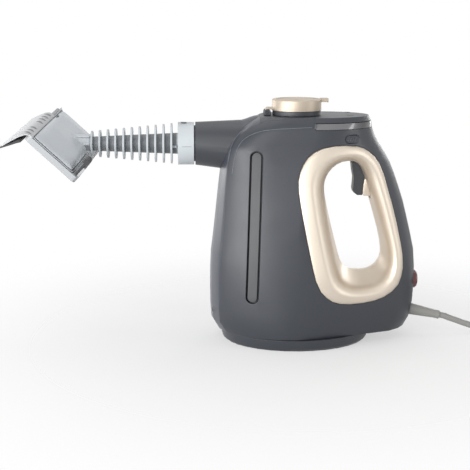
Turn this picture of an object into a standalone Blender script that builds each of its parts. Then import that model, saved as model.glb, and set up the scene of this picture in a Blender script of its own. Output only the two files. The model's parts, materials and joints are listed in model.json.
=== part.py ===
"""Handheld steam cleaner with a finned attachment and a window head.

Metres, +Z up. The origin is the centre of the foot's underside on the floor, the nozzle
points to -X, the handle and the cord are towards +X, and the near side is -Y.
"""

import math

import bmesh
import bpy
from mathutils import Matrix, Vector

# Clearances shared by all pieces
GAP = 0.0003
PIN_GAP = 0.0002
OVERRUN = 0.03
SKIN_OVERRUN = 0.006
MERGE_DISTANCE = 0.0000001
ROUND_SEGMENTS = 24
SMALL_SEGMENTS = 10
INNER_SEGMENTS = 16
SHARP_ANGLE = math.radians(34)
FULL_TURN = 2 * math.pi

# Body shell
BODY_HEIGHT = 0.2245
FRONT_REACH = 0.0856
REAR_REACH = 0.1208
BODY_HALF_WIDTH = 0.0625
SHELL_BASE = 0.012
SHELL_WALL = 0.0028
FRONT_POINTS = 7
REAR_POINTS = 8
INNER_FRONT_POINTS = 5
INNER_REAR_POINTS = 5
TAIL_TAPER_SHARE = 0.70
TAIL_START_SHARE = 0.10
TAIL_ROUND_SHARE = 0.80
# height above the base, front reach, rear reach, half width, widest place, rear roundness, front bluntness
BODY_ROW_SHARES = [
    (0.000, 0.916, 0.919, 0.960, -0.017, 0.00, 2.00),
    (0.016, 0.950, 0.940, 0.976, -0.017, 0.00, 2.02),
    (0.047, 0.985, 0.966, 0.990, -0.017, 0.00, 2.05),
    (0.169, 1.000, 1.000, 1.000, -0.017, 0.00, 2.20),
    (0.282, 0.998, 0.999, 0.992, -0.017, 0.00, 2.30),
    (0.367, 0.989, 0.987, 0.968, -0.017, 0.00, 2.35),
    (0.475, 0.955, 0.942, 0.936, -0.017, 0.00, 2.40),
    (0.602, 0.922, 0.885, 0.888, 0.000, 0.08, 2.50),
    (0.696, 0.896, 0.828, 0.840, 0.017, 0.20, 2.70),
    (0.781, 0.868, 0.770, 0.792, 0.041, 0.40, 2.90),
    (0.838, 0.829, 0.712, 0.752, 0.066, 0.60, 3.60),
    (0.875, 0.783, 0.671, 0.728, 0.091, 0.70, 4.20),
    (0.908, 0.724, 0.640, 0.704, 0.116, 0.80, 4.00),
    (0.951, 0.619, 0.613, 0.680, 0.141, 0.95, 3.80),
    (0.981, 0.510, 0.604, 0.616, 0.160, 1.00, 3.60),
    (1.000, 0.420, 0.585, 0.565, 0.166, 1.00, 3.20),
]
OUTER_LEVEL_SHARES = [
    0.0, 0.047, 0.12, 0.2, 0.282, 0.367, 0.45, 0.53, 0.602, 0.67, 0.73, 0.781, 0.82, 0.857, 0.885, 0.91,
    0.935, 0.96, 0.981, 1.0,
]
INNER_LEVEL_SHARES = [0.0, 0.2, 0.4, 0.602, 0.75, 0.838, 0.885, 0.935, 1.0]

# Front spine cover and top deck, cut out of the body by one ribbon
SPINE_HALF_WIDTH_SHARE = 0.464
DECK_FRONT_WIDTH_SHARE = 0.544
DECK_WIDTH_SHARE = 0.656
SPINE_HALF_WIDTH = SPINE_HALF_WIDTH_SHARE * BODY_HALF_WIDTH
DECK_FRONT_HALF_WIDTH = DECK_FRONT_WIDTH_SHARE * BODY_HALF_WIDTH
DECK_HALF_WIDTH = DECK_WIDTH_SHARE * BODY_HALF_WIDTH
SPINE_CUT_DEPTH = 0.016
DECK_LIP = 0.005
SPINE_LEVEL_SHARES = [0.0, 0.05, 0.17, 0.37, 0.6, 0.78, 0.84, 0.875, 0.91, 0.95, 0.98, 1.0]
SPINE_WIDTH_SHARES = [0.97, 0.97, 1.08, 1.12, 1.03, 0.97, 0.95, 0.95, 0.95, 0.97, 1.0, 1.03]
DECK_START_SHARE = 0.43
DECK_STEP_SHARE = 0.116
DECK_COVER_SHARE = 1.2

# Foot and its pads
FOOT_END_INSET = 0.0126
FOOT_SIDE_INSET = 0.004
FOOT_HALF_LENGTH = FRONT_REACH - FOOT_END_INSET
FOOT_HALF_WIDTH = BODY_HALF_WIDTH - FOOT_SIDE_INSET
FOOT_FLARE = 0.0024
FOOT_EDGE = 0.0026
FOOT_WALL = 0.003
FOOT_POINTS = 32
FOOT_OPENING_MARGIN = 0.0045
PAD_RADIUS = 0.006
PAD_HEIGHT = 0.0022
PAD_PLACE_SHARE = 0.6

# Trim band round the rear of the deck
BAND_HEIGHT = 0.0054
BAND_PROUD = 0.0003
BAND_START = 0.0010
BAND_DEPTH = 0.0034
BAND_POINTS = 9

# Handle opening and its gold trims: outline pairs as shares of the rear reach and the body height
RING_OUTER_SHARES = [
    (-0.017, 0.741), (0.012, 0.797), (0.066, 0.841), (0.160, 0.872), (0.296, 0.884), (0.448, 0.880),
    (0.540, 0.861), (0.616, 0.826), (0.678, 0.771), (0.736, 0.670), (0.796, 0.559), (0.849, 0.427),
    (0.860, 0.375), (0.857, 0.317), (0.816, 0.261), (0.717, 0.221), (0.589, 0.202), (0.419, 0.199),
    (0.293, 0.211), (0.209, 0.241), (0.138, 0.295), (0.083, 0.412), (0.029, 0.554), (-0.008, 0.666),
]
RING_INNER_SHARES = [
    (0.223, 0.705), (0.236, 0.737), (0.261, 0.764), (0.306, 0.789), (0.368, 0.804), (0.447, 0.802),
    (0.501, 0.786), (0.542, 0.748), (0.567, 0.699), (0.610, 0.629), (0.656, 0.547), (0.707, 0.450),
    (0.719, 0.388), (0.709, 0.353), (0.662, 0.323), (0.604, 0.308), (0.538, 0.303), (0.455, 0.310),
    (0.418, 0.321), (0.389, 0.336), (0.360, 0.374), (0.323, 0.450), (0.269, 0.566), (0.232, 0.664),
]
# how far the crease stands outside the liner, as shares of the liner step
RING_STEP_SHARES = [
    0.35, 0.35, 0.30, 0.25, 0.2, 0.2, 0.2, 0.2, 0.2, 0.2, 0.2, 0.2,
    0.3, 0.5, 0.8, 1.0, 1.0, 1.0, 1.0, 1.0, 0.95, 0.8, 0.6, 0.4,
]
RING_STATIONS = 38
RING_BULGE = 0.0042
RING_LINER_STEP = 0.0062
RING_WALL = 0.0028
RING_EDGE_DEPTH = 0.0042
RING_CREASE_SHARE = 0.60
RING_APEX_SHARE = 0.60
RING_INNER_ARC_SHARES = (0.30, 0.62, 0.86)
RING_OUTER_ARC_SHARES = (0.45, 0.80)
RING_ROOF_SHARE = 1.1
RING_LINER_SHARE = 0.4

# Slot inlays in the body's sides
INLAY_TOP_SHARE = 0.866
INLAY_BOTTOM_SHARE = 0.212
INLAY_TOP_PLACE_SHARE = 0.480
INLAY_BOTTOM_PLACE_SHARE = 0.537
SLOT_HALF_WIDTH = 0.0062
INLAY_HALF_WIDTH = 0.0044
INLAY_SINK = 0.0012
INLAY_FLANGE_HALF_WIDTH = 0.0086
INLAY_FLANGE_DEPTH = 0.0048
INLAY_FLANGE_THICKNESS = 0.0012
INLAY_STATIONS = 6
SLOT_END_SHARE = 0.97

# Nozzle housing
NOZZLE_AXIS_DROP = 0.0277
NOZZLE_AXIS_HEIGHT = BODY_HEIGHT - NOZZLE_AXIS_DROP
NOZZLE_LENGTH = 0.0138
NOZZLE_TIP = FRONT_REACH + NOZZLE_LENGTH
NOZZLE_SIDE_MARGIN = 0.0034
NOZZLE_TAPER = 0.0045
NOZZLE_ROOT_RADIUS = SPINE_HALF_WIDTH - NOZZLE_SIDE_MARGIN
NOZZLE_TIP_RADIUS = NOZZLE_ROOT_RADIUS - NOZZLE_TAPER
NOZZLE_ROOT_INSET = 0.0356
NOZZLE_ROOT_PLACE = FRONT_REACH - NOZZLE_ROOT_INSET
NOZZLE_ROOT_DROP = 0.0024
NOZZLE_WALL = 0.0026
NOZZLE_FACE = 0.003
NOZZLE_ROOT_DEPTH = 0.0075
SPIGOT_INSET = 0.0033
SPIGOT_RADIUS = NOZZLE_TIP_RADIUS - SPIGOT_INSET
SPIGOT_CLEARANCE = 0.0007
SPIGOT_LENGTH = 0.0130
SPIGOT_WALL = 0.0023
SPIGOT_BORE_RADIUS = SPIGOT_RADIUS - SPIGOT_WALL
NOZZLE_SEGMENTS = 28

# Steam path
SPOUT_RADIUS = 0.0050
SPOUT_BORE_RADIUS = 0.0028
SPOUT_INSIDE = 0.010
SPOUT_OUTSIDE = 0.0096
SPOUT_BACK_PLACE = NOZZLE_ROOT_PLACE + SPOUT_INSIDE
SPOUT_TIP_PLACE = NOZZLE_TIP + SPOUT_OUTSIDE
SEAL_WIDTH = 0.0024
SEAL_RADIUS = SPOUT_RADIUS + SEAL_WIDTH
SEAL_THICKNESS = 0.0022
PIPE_RADIUS = 0.0028
PIPE_END_GAP = 0.0012
PIPE_POINTS = 10
VALVE_BACK = 0.013
VALVE_SIDE_PLACE = 0.021
VALVE_RADIUS = 0.0072
VALVE_HEIGHT = 0.0180
VALVE_BORE_DEPTH = 0.008
ROD_RADIUS = 0.0020
ROD_RISE = 0.0075
ROD_ARM_GAP = 0.0010
ROD_ARM_THICKNESS = 0.0030
ROD_ARM_HEIGHT = 0.0070
ROD_ARM_REACH = 0.0040

# Boiler and what it stands on
BOILER_PLACE = -0.017
BOILER_RADIUS = 0.0370
BOILER_WALL = 0.0025
BOILER_BOTTOM = 0.0260
BOILER_BELOW_ROD = 0.0105
BOILER_UPPER_HEIGHT = 0.0770
BOILER_SHOULDER = 0.0040
FLANGE_REACH = 0.0065
FLANGE_RADIUS = BOILER_RADIUS + FLANGE_REACH
FLANGE_THICKNESS = 0.0030
GASKET_THICKNESS = 0.0016
BOLT_INSET = 0.0032
BOLT_CIRCLE_RADIUS = FLANGE_RADIUS - BOLT_INSET
BOLT_RADIUS = 0.0014
BOLT_HEAD_RADIUS = 0.0026
BOLT_HEAD_HEIGHT = 0.0020
BOLT_COUNT = 3
BOLT_TURN_SHARE = 0.44
STAND_INSET = 0.0015
STAND_RADIUS = BOILER_RADIUS - STAND_INSET
STAND_WALL = 0.0040
HEATER_INSET = 0.0055
HEATER_RADIUS = STAND_RADIUS - STAND_WALL - HEATER_INSET
HEATER_THICKNESS = 0.0055
THERMOSTAT_RADIUS = 0.0080
THERMOSTAT_HEIGHT = 0.0070
FUSE_RADIUS = 0.0035
FUSE_HEIGHT = 0.0060
FUSE_OFFSET = 0.0160

# Filler, plug and lid
PLUG_STEM_RADIUS = 0.0114
PLUG_STEM_CLEARANCE = 0.0004
PLUG_STEM_LENGTH = 0.0190
NECK_WALL = 0.0027
NECK_DROP = 0.0035
NECK_BORE_RADIUS = PLUG_STEM_RADIUS + PLUG_STEM_CLEARANCE
NECK_RADIUS = NECK_BORE_RADIUS + NECK_WALL
NECK_TOP = BODY_HEIGHT - NECK_DROP
NECK_FLANGE_REACH = 0.0025
NECK_FLANGE_RADIUS = NECK_RADIUS + NECK_FLANGE_REACH
NECK_FLANGE_THICKNESS = 0.0026
PLUG_FLANGE_REACH = 0.0058
PLUG_FLANGE_RADIUS = PLUG_STEM_RADIUS + PLUG_FLANGE_REACH
PLUG_FLANGE_THICKNESS = 0.0030
PLUG_KNOB_INSET = 0.0032
PLUG_KNOB_RADIUS = PLUG_FLANGE_RADIUS - PLUG_KNOB_INSET
PLUG_GRIP_THICKNESS = 0.0090
PLUG_GASKET_RADIUS = NECK_RADIUS - GAP
PLUG_GASKET_THICKNESS = 0.0014
COLLAR_CLEARANCE = 0.0018
COLLAR_SKIRT_WALL = 0.0022
COLLAR_FLANGE_REACH = 0.0025
COLLAR_RISE = 0.0045
COLLAR_SKIRT_DEPTH = 0.0085
COLLAR_BORE_RADIUS = PLUG_FLANGE_RADIUS + COLLAR_CLEARANCE
COLLAR_SKIRT_RADIUS = COLLAR_BORE_RADIUS + COLLAR_SKIRT_WALL
COLLAR_RADIUS = COLLAR_SKIRT_RADIUS + COLLAR_FLANGE_REACH
COLLAR_TOP = BODY_HEIGHT + COLLAR_RISE
LID_OVERHANG = 0.0006
LID_HEIGHT = 0.0110
LID_RADIUS = COLLAR_RADIUS + LID_OVERHANG
LID_TOP = COLLAR_TOP + LID_HEIGHT
LID_WALL = 0.0025
PLUG_HEADROOM = 0.0030
PLUG_KNOB_TOP = LID_TOP - LID_WALL - PLUG_HEADROOM
LID_EDGE = 0.0008
LID_DISH = 0.0007
LID_BUMP_FOOT_SHARE = 0.6
LID_RIM = 0.0022
LID_BUMP_RADIUS = 0.0020
TAB_REACH = 0.0063
TAB_HALF_WIDTH = 0.0052
TAB_THICKNESS = 0.0034
TAB_RISE = 0.0006
HINGE_OFFSET = 0.0053
HINGE_DROP = 0.0014
HINGE_PLACE = -COLLAR_RADIUS - HINGE_OFFSET
HINGE_HEIGHT = COLLAR_TOP - HINGE_DROP
HINGE_PIN_RADIUS = 0.0010
HINGE_EYE_RADIUS = 0.0020
HINGE_EAR_RADIUS = 0.0029
HINGE_EAR_SPREAD_SHARE = 1.15
HINGE_EAR_INNER = 0.0042
HINGE_EAR_OUTER = 0.0080
HINGE_BASE_THICKNESS = 0.0005
HINGE_HALF_LENGTH = 0.0035
HINGE_ARM_RISE = 0.0045
HINGE_ARM_TOP = HINGE_HEIGHT + HINGE_ARM_RISE
LID_ARM_EYE_SHARES = [(-1.0, 0.0), (-0.7, -0.7), (0.0, -1.0), (0.7, -0.7), (1.0, 0.0)]
LID_ARM_BEND_SHARES = [(-0.2, 0.0), (-0.85, -0.7)]
LID_ARM_INNER_SHARE = 1.1

# Trigger and lock bar
TRIGGER_PIVOT_SHARES = (0.57947, 0.82405)
TRIGGER_HALF_WIDTH = 0.0072
TRIGGER_PIN_RADIUS = 0.0015
TRIGGER_PIN_MARGIN = 0.0070
TRIGGER_OUTLINE_SHARES = [
    (0.492, 0.868), (0.484, 0.800), (0.452, 0.790), (0.460, 0.755), (0.471, 0.725), (0.467, 0.690),
    (0.464, 0.676), (0.470, 0.660), (0.500, 0.648), (0.541, 0.648), (0.552, 0.672), (0.561, 0.708),
    (0.574, 0.745), (0.596, 0.782), (0.603, 0.812), (0.600, 0.842), (0.545, 0.868),
]
TRIGGER_SLOT_DEPTH = 0.0165
TRIGGER_SLOT_BOTTOM_SHARE = 0.632
TRIGGER_SLOT_FRONT_SHARE = 0.450
TRIGGER_PIVOT = (TRIGGER_PIVOT_SHARES[0] * REAR_REACH, TRIGGER_PIVOT_SHARES[1] * BODY_HEIGHT)
ROD_HEIGHT = TRIGGER_PIVOT[1] + ROD_RISE
ROD_ARM_PLACE = TRIGGER_OUTLINE_SHARES[0][0] * REAR_REACH - ROD_ARM_GAP
BOILER_TOP = ROD_HEIGHT - BOILER_BELOW_ROD
BOILER_JOINT_HEIGHT = BOILER_TOP - BOILER_UPPER_HEIGHT
VALVE_PLACE = (BOILER_PLACE - VALVE_BACK, VALVE_SIDE_PLACE)
SPRING_WIRE_RADIUS = 0.0006
SPRING_RADIUS = 0.0036
SPRING_TURNS = 4
SPRING_PITCH = 0.0017
SPRING_POINTS = 8
LOCK_PLACE_SHARE = 0.419
LOCK_PLACE = LOCK_PLACE_SHARE * REAR_REACH
LOCK_ABOVE_RING = 0.0056
LOCK_HEIGHT = max(height for _, height in RING_OUTER_SHARES) * BODY_HEIGHT + LOCK_ABOVE_RING
LOCK_HALF_LENGTH = 0.0070
LOCK_HALF_HEIGHT = 0.0037
LOCK_PROUD = 0.0006
LOCK_TRAVEL = 0.0030

# Rear lens, electrical parts and screws
LENS_HEIGHT_SHARE = 0.261
LENS_RADIUS = 0.0096
LENS_PROUD = 0.0034
LENS_DEPTH = 0.0085
LENS_EDGE = 0.0003
LENS_EDGE_INSET = 0.0014
LENS_DOME_SHARES = [(1.0, 0.62), (0.72, 0.88), (0.35, 1.0), (0.0, 1.0)]
BLOCK_INSET = 0.0408
BLOCK_PLACE = REAR_REACH - BLOCK_INSET
BLOCK_LENGTH = 0.0200
BLOCK_HALF_WIDTH = 0.0080
BLOCK_HEIGHT = 0.0120
CLAMP_INSET = 0.0223
CLAMP_PLACE = REAR_REACH - CLAMP_INSET
CLAMP_LENGTH = 0.0060
CLAMP_HALF_WIDTH = 0.0095
CLAMP_HEIGHT = 0.0080
CLAMP_SCREW_PLACE_SHARE = 0.62
CLAMP_SCREW_RADIUS = 0.0014
CLAMP_SCREW_HEAD_RADIUS = 0.0026
CLAMP_SCREW_HEAD_HEIGHT = 0.0018
SCREW_HEIGHT_SHARE = 0.138
SCREW_SIDE_PLACE = 0.0125
SCREW_HEAD_RADIUS = 0.0023
SCREW_HEAD_HEIGHT = 0.0012
SCREW_SHANK_RADIUS = 0.0012
SCREW_LENGTH = 0.0100
SCREW_SINK = 0.0010

# Cord, its strain relief, coil, tail and mains plug
CORD_RADIUS = 0.0031
CORD_RESOLUTION = 2
RELIEF_ENTRY_INSET = 0.0058
RELIEF_ENTRY_HEIGHT = 0.0275
RELIEF_ENTRY = (REAR_REACH - RELIEF_ENTRY_INSET, RELIEF_ENTRY_HEIGHT)
RELIEF_SLOPE = -0.2260
RELIEF_LENGTH = 0.0340
RELIEF_RADIUS = 0.0059
RELIEF_TIP_WALL = 0.0011
RELIEF_TIP_RADIUS = CORD_RADIUS + RELIEF_TIP_WALL
RELIEF_RING_RISE = 0.0002
RELIEF_RING_RADIUS = RELIEF_TIP_RADIUS + RELIEF_RING_RISE
RELIEF_RING_LENGTH = 0.0048
RELIEF_RING_STEP = 0.0006
RELIEF_FLANGE_REACH = 0.0026
RELIEF_FLANGE_RADIUS = RELIEF_RADIUS + RELIEF_FLANGE_REACH
RELIEF_FLANGE_THICKNESS = 0.0022
RELIEF_INSIDE = 0.0090
LEAD_ROUTE = [
    (0.1552, 0.0, 0.0180), (0.1630, 0.0, 0.0152), (0.1715, 0.0, 0.0120), (0.1805, 0.0, 0.0089),
    (0.1900, 0.0, 0.0062), (0.2000, 0.0, 0.0043), (0.2110, 0.0, 0.0034), (0.2240, 0.0, 0.0033),
    (0.2380, 0.0, 0.0033),
]
COIL_CENTRE_PLACE = 0.2590
COIL_FLOOR_GAP = 0.0002
COIL_OUTER_RADIUS = 0.0505
COIL_TURNS_IN = 4
COIL_TURNS_OUT_SHARE = 0.875
COIL_TURN_GAP = 0.0006
COIL_POINTS = 24
COIL_LEAST_GAP = 0.0004
CORD_END_GAP = 0.0006
LEAD_POINTS = 20
TAIL_POINTS = 8
TAIL_LENGTH = 0.0420
TAIL_TURN = math.radians(-16)
PLUG_BODY_LENGTH = 0.0460
PLUG_BODY_HALF_WIDTH = 0.0240
PLUG_BODY_HEIGHT = 0.0190
PLUG_NECK_LENGTH = 0.0100
PLUG_NECK_RADIUS = 0.0052
PLUG_PIN_LENGTH = 0.0175
PLUG_PIN_HALF_LENGTH = 0.0032
PLUG_PIN_HALF_WIDTH = 0.0020
PLUG_PIN_SPREAD = 0.0111
# place across and along the plug, and length, of each pin
PLUG_PIN_SHARES = [(-1, -1, 1.0), (1, -1, 1.0), (0, 1, 1.25)]
PLUG_CORNER_SHARES = [
    (-0.62, 0.0), (0.62, 0.0), (0.86, 0.12), (1.0, 0.36), (1.0, 0.90), (0.90, 1.0), (-0.90, 1.0),
    (-1.0, 0.90), (-1.0, 0.36), (-0.86, 0.12),
]

# Attachment with its fins and collar
ATTACH_WALL = 0.0025
ATTACH_RADIUS = SPIGOT_RADIUS + SPIGOT_CLEARANCE + ATTACH_WALL
ATTACH_BACK_GAP = 0.0013
ATTACH_COLLAR_LENGTH = 0.0156
ATTACH_BACK_PLACE = NOZZLE_TIP + ATTACH_BACK_GAP
ATTACH_FACE_PLACE = ATTACH_BACK_PLACE + ATTACH_COLLAR_LENGTH
ATTACH_FACE_THICKNESS = 0.0026
ATTACH_BORE_RADIUS = 0.0034
CORE_BACK_RADIUS = 0.0104
CORE_TIP_RADIUS = 0.0069
CORE_LENGTH = 0.0857
CORE_TIP_PLACE = ATTACH_FACE_PLACE + CORE_LENGTH
ATTACH_TIP_LENGTH = 0.0105
ATTACH_TIP_PLACE = CORE_TIP_PLACE + ATTACH_TIP_LENGTH
ATTACH_TIP_WALL = 0.0018
ATTACH_TIP_RADIUS = ATTACH_BORE_RADIUS + ATTACH_TIP_WALL
FIN_COUNT = 11
FIN_START = 0.0063
FIN_END = 0.0018
FIN_FIRST_PLACE = ATTACH_FACE_PLACE + FIN_START
FIN_PITCH = (CORE_TIP_PLACE - FIN_END - FIN_FIRST_PLACE) / (FIN_COUNT - 1)
FIN_THICKNESS = 0.0018
FIN_BACK_INSET = 0.0012
FIN_BACK_RADIUS = ATTACH_RADIUS - FIN_BACK_INSET
FIN_TIP_RADIUS = 0.0126
ATTACH_SEGMENTS = 14

# Window head, in its own frame: long, short and normal directions
HEAD_OFFSET = 0.0159
HEAD_DROP = 0.0019
HEAD_CENTRE = (-ATTACH_TIP_PLACE - HEAD_OFFSET, 0.0, NOZZLE_AXIS_HEIGHT - HEAD_DROP)
HEAD_SLOPE = math.radians(43.056)
HEAD_ROLL = math.radians(9.405)
TRAY_HALF_LENGTH = 0.0605
TRAY_HALF_WIDTH = 0.03025
TRAY_THICKNESS = 0.0060
TRAY_CORNER = 0.0040
TRAY_RECESS_DEPTH = 0.0032
TRAY_RIM = 0.0030
TRAY_STEAM_HALF_LENGTH = 0.0300
TRAY_STEAM_HALF_WIDTH = 0.0055
TRAY_STEAM_CORNER_SHARE = 0.9
CASING_HEIGHT = 0.0140
CASING_TRIM = 0.0010
# height, half length, half width and shift along the short direction, as shares of the casing and the tray
CASING_ROW_SHARES = [
    (0.0, 0.96, 0.82, -0.02), (0.18, 0.95, 0.81, -0.02), (0.50, 0.66, 0.70, 0.0), (0.82, 0.36, 0.56, 0.02),
    (1.0, 0.20, 0.44, 0.04),
]
CASING_CORNER_SHARE = 0.35
SOCKET_WALL = 0.0028
SOCKET_BACK_GAP = 0.0008
SOCKET_DEPTH = 0.0115
SOCKET_BORE_RADIUS = ATTACH_TIP_RADIUS + GAP
SOCKET_RADIUS = SOCKET_BORE_RADIUS + SOCKET_WALL
SOCKET_BACK_PLACE = CORE_TIP_PLACE + SOCKET_BACK_GAP
SOCKET_FRONT_PLACE = ATTACH_TIP_PLACE + SOCKET_DEPTH
PASSAGE_SHARE = 0.7
SQUEEGEE_END_REACH = 0.0005
SQUEEGEE_HALF_LENGTH = TRAY_HALF_LENGTH + SQUEEGEE_END_REACH
# squeegee sections as shares of the tray's half width, along its short and normal directions
HOLDER_SHARES = [
    (-1.0116, 0.1058), (-1.0645, 0.0529), (-1.114, -0.0463), (-1.2099, -0.2116), (-1.3025, -0.4165),
    (-1.3884, -0.6446), (-1.362, -0.6545), (-1.2661, -0.4298), (-1.1736, -0.238), (-1.0777, -0.0727),
    (-1.0116, -0.0132),
]
BLADE_BEAD_SHARES = (-1.0413, -0.1884)
BLADE_BEAD_RADIUS = 0.0022
BLADE_TIP_SHARES = (-1.3983, -0.7702)
BLADE_ROOT_THICKNESS = 0.0026
BLADE_TIP_THICKNESS = 0.0008
HOLDER_SLOT_COUNT = 4
HOLDER_SLOT_PITCH_SHARE = 0.2295
HOLDER_SLOT_HALF_WIDTH = 0.0024
HOLDER_SLOT_START_SHARE = 0.1803
HOLDER_SLOT_LEVEL_SHARES = (-0.2314, -0.0529)
HOLDER_SLOT_INNER_SHARE = -1.0413
WIPER_INNER_PLACE = 0.0460
WIPER_END_INSET = 0.0025
WIPER_SIDE_INSET = 0.00405
WIPER_OUTER_PLACE = TRAY_HALF_LENGTH - WIPER_END_INSET
WIPER_SIDE_PLACE = TRAY_HALF_WIDTH - WIPER_SIDE_INSET
WIPER_THICKNESS = 0.0020
WIPER_BEAD_RADIUS = 0.0032
WIPER_BEAD_RISE = 0.0165
WIPER_BASE_RISE = 0.0015
WIPER_BEAD_HEIGHT = TRAY_THICKNESS + WIPER_BEAD_RISE
WIPER_BASE_HEIGHT = TRAY_THICKNESS + WIPER_BASE_RISE
WIPER_WALL_SHARES = [
    (0.7107, 0.2248), (0.8198, 0.2248), (0.8066, 0.4628), (0.7339, 0.6446),
    (0.6149, 0.8264), (0.5686, 0.8), (0.6744, 0.6215), (0.7273, 0.4298),
]
TRAY_FENCE_HEIGHT = 0.0170
TRAY_FENCE_THICKNESS = 0.0022

FINISHES = {
    "slate": ((0.105, 0.112, 0.128), 0.42, 0.0),
    "slate_dark": ((0.070, 0.074, 0.082), 0.45, 0.0),
    "gold": ((0.72, 0.62, 0.50), 0.30, 0.85),
    "smoke": ((0.30, 0.30, 0.32), 0.12, 0.4),
    "light_grey": ((0.60, 0.64, 0.67), 0.40, 0.0),
    "white": ((0.82, 0.83, 0.85), 0.45, 0.0),
    "rubber": ((0.030, 0.030, 0.033), 0.65, 0.0),
    "steel": ((0.62, 0.62, 0.63), 0.30, 1.0),
    "brass": ((0.70, 0.52, 0.25), 0.32, 1.0),
    "aluminium": ((0.72, 0.73, 0.75), 0.42, 1.0),
    "black": ((0.020, 0.020, 0.022), 0.50, 0.0),
    "silicone": ((0.62, 0.20, 0.12), 0.60, 0.0),
    "lens": ((0.25, 0.010, 0.012), 0.15, 0.0),
    "cord": ((0.30, 0.30, 0.29), 0.50, 0.0),
}


# Small tools
def clear_scene():
    for thing in list(bpy.data.objects):
        bpy.data.objects.remove(thing, do_unlink=True)


def material_for(finish):
    known = bpy.data.materials.get(finish)
    if known:
        return known
    colour, roughness, metallic = FINISHES[finish]
    made = bpy.data.materials.new(finish)
    made.use_nodes = True
    shader = made.node_tree.nodes["Principled BSDF"]
    shader.inputs["Base Color"].default_value = (*colour, 1.0)
    shader.inputs["Roughness"].default_value = roughness
    shader.inputs["Metallic"].default_value = metallic
    return made


def place(name, shape, finish=None, pivot=(0, 0, 0)):
    """Makes an object from a bmesh in world coordinates, its origin at pivot. No finish makes a helper."""
    bmesh.ops.recalc_face_normals(shape, faces=shape.faces)
    bmesh.ops.translate(shape, verts=shape.verts, vec=-Vector(pivot))
    mesh = bpy.data.meshes.new(name)
    shape.to_mesh(mesh)
    shape.free()
    mesh.shade_smooth()
    mesh.set_sharp_from_angle(angle=SHARP_ANGLE)
    thing = bpy.data.objects.new(name, mesh)
    thing.location = pivot
    bpy.context.scene.collection.objects.link(thing)
    if finish:
        mesh.materials.append(material_for(finish))
    else:
        thing.hide_render = True
        thing.display_type = "WIRE"
    return thing


def combine(thing, other, operation="DIFFERENCE"):
    modifier = thing.modifiers.new(operation.lower(), "BOOLEAN")
    modifier.operation = operation
    modifier.solver = "EXACT"
    modifier.object = other
    return thing


def loft_shape(rings, closed_loop=False):
    """A closed skin through rings of equal count. A closed loop joins its last ring to its first."""
    shape = bmesh.new()
    rows = [[shape.verts.new(point) for point in ring] for ring in rings]
    count = len(rows[0])
    pairs = list(zip(rows, rows[1:]))
    if closed_loop:
        pairs.append((rows[-1], rows[0]))
    for low, high in pairs:
        for i in range(count):
            shape.faces.new((low[i - 1], low[i], high[i], high[i - 1]))
    if not closed_loop:
        shape.faces.new(rows[0])
        shape.faces.new(rows[-1])
    return shape


def prism_shape(outline, low, high, axis="Y"):
    """The outline swept along an axis. It is given in (x, z) for Y, in (x, y) for Z and in (y, z) for X."""
    turns = {"Y": lambda a, b, c: (a, c, b), "Z": lambda a, b, c: (a, b, c), "X": lambda a, b, c: (c, a, b)}
    turn = turns[axis]
    return loft_shape([[turn(a, b, end) for a, b in outline] for end in (low, high)])


def box_shape(low, high):
    outline = [(low[0], low[1]), (high[0], low[1]), (high[0], high[1]), (low[0], high[1])]
    return prism_shape(outline, low[2], high[2], "Z")


def turned_shape(profile, segments=ROUND_SEGMENTS, centre=(0, 0, 0), axis="Z"):
    """The (radius, height) profile spun round an axis through centre."""
    shape = bmesh.new()
    verts = [shape.verts.new((radius, 0, height)) for radius, height in profile]
    edges = [shape.edges.new(pair) for pair in zip(verts, verts[1:])]
    if profile[0][0] > 0:
        edges.append(shape.edges.new((verts[-1], verts[0])))
    bmesh.ops.spin(
        shape, geom=verts + edges, cent=(0, 0, 0), axis=(0, 0, 1), angle=FULL_TURN, steps=segments
    )
    bmesh.ops.remove_doubles(shape, verts=shape.verts, dist=MERGE_DISTANCE)
    turn = {
        "Z": Matrix.Identity(4),
        "X": Matrix.Rotation(math.pi / 2, 4, "Y"),
        "Y": Matrix.Rotation(-math.pi / 2, 4, "X"),
    }[axis]
    bmesh.ops.transform(shape, matrix=Matrix.Translation(centre) @ turn, verts=shape.verts)
    return shape


def disc_profile(radius, low, high):
    return [(0, low), (radius, low), (radius, high), (0, high)]


def ring_profile(inner, outer, low, high):
    return [(inner, low), (outer, low), (outer, high), (inner, high)]


def curve_point(a, b, c, d, t):
    """The point at share t between b and c on the smooth curve through the four."""
    square = (a * 2 - b * 5 + c * 4 - d) * (t * t / 2)
    cube = (b * 3 - a - c * 3 + d) * (t**3 / 2)
    return b + (c - a) * (t / 2) + square + cube


def smooth_closed(points, count):
    """Points spread evenly by index along a closed Catmull-Rom curve."""
    total = len(points)
    made = []
    for i in range(count):
        place_on = i * total / count
        k = int(place_on)
        t = place_on - k
        a, b, c, d = (Vector(points[(k + j) % total]) for j in (-1, 0, 1, 2))
        made.append(curve_point(a, b, c, d, t))
    return made


def smooth_open(points, count):
    """Points spread evenly by index along an open Catmull-Rom curve."""
    known = [Vector(point) for point in points]
    known = [known[0] * 2 - known[1]] + known + [known[-1] * 2 - known[-2]]
    spans = len(points) - 1
    made = []
    for i in range(count + 1):
        place_on = min(i * spans / count, spans)
        k = min(int(place_on), spans - 1)
        t = place_on - k
        a, b, c, d = known[k : k + 4]
        made.append(curve_point(a, b, c, d, t))
    return made


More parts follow.
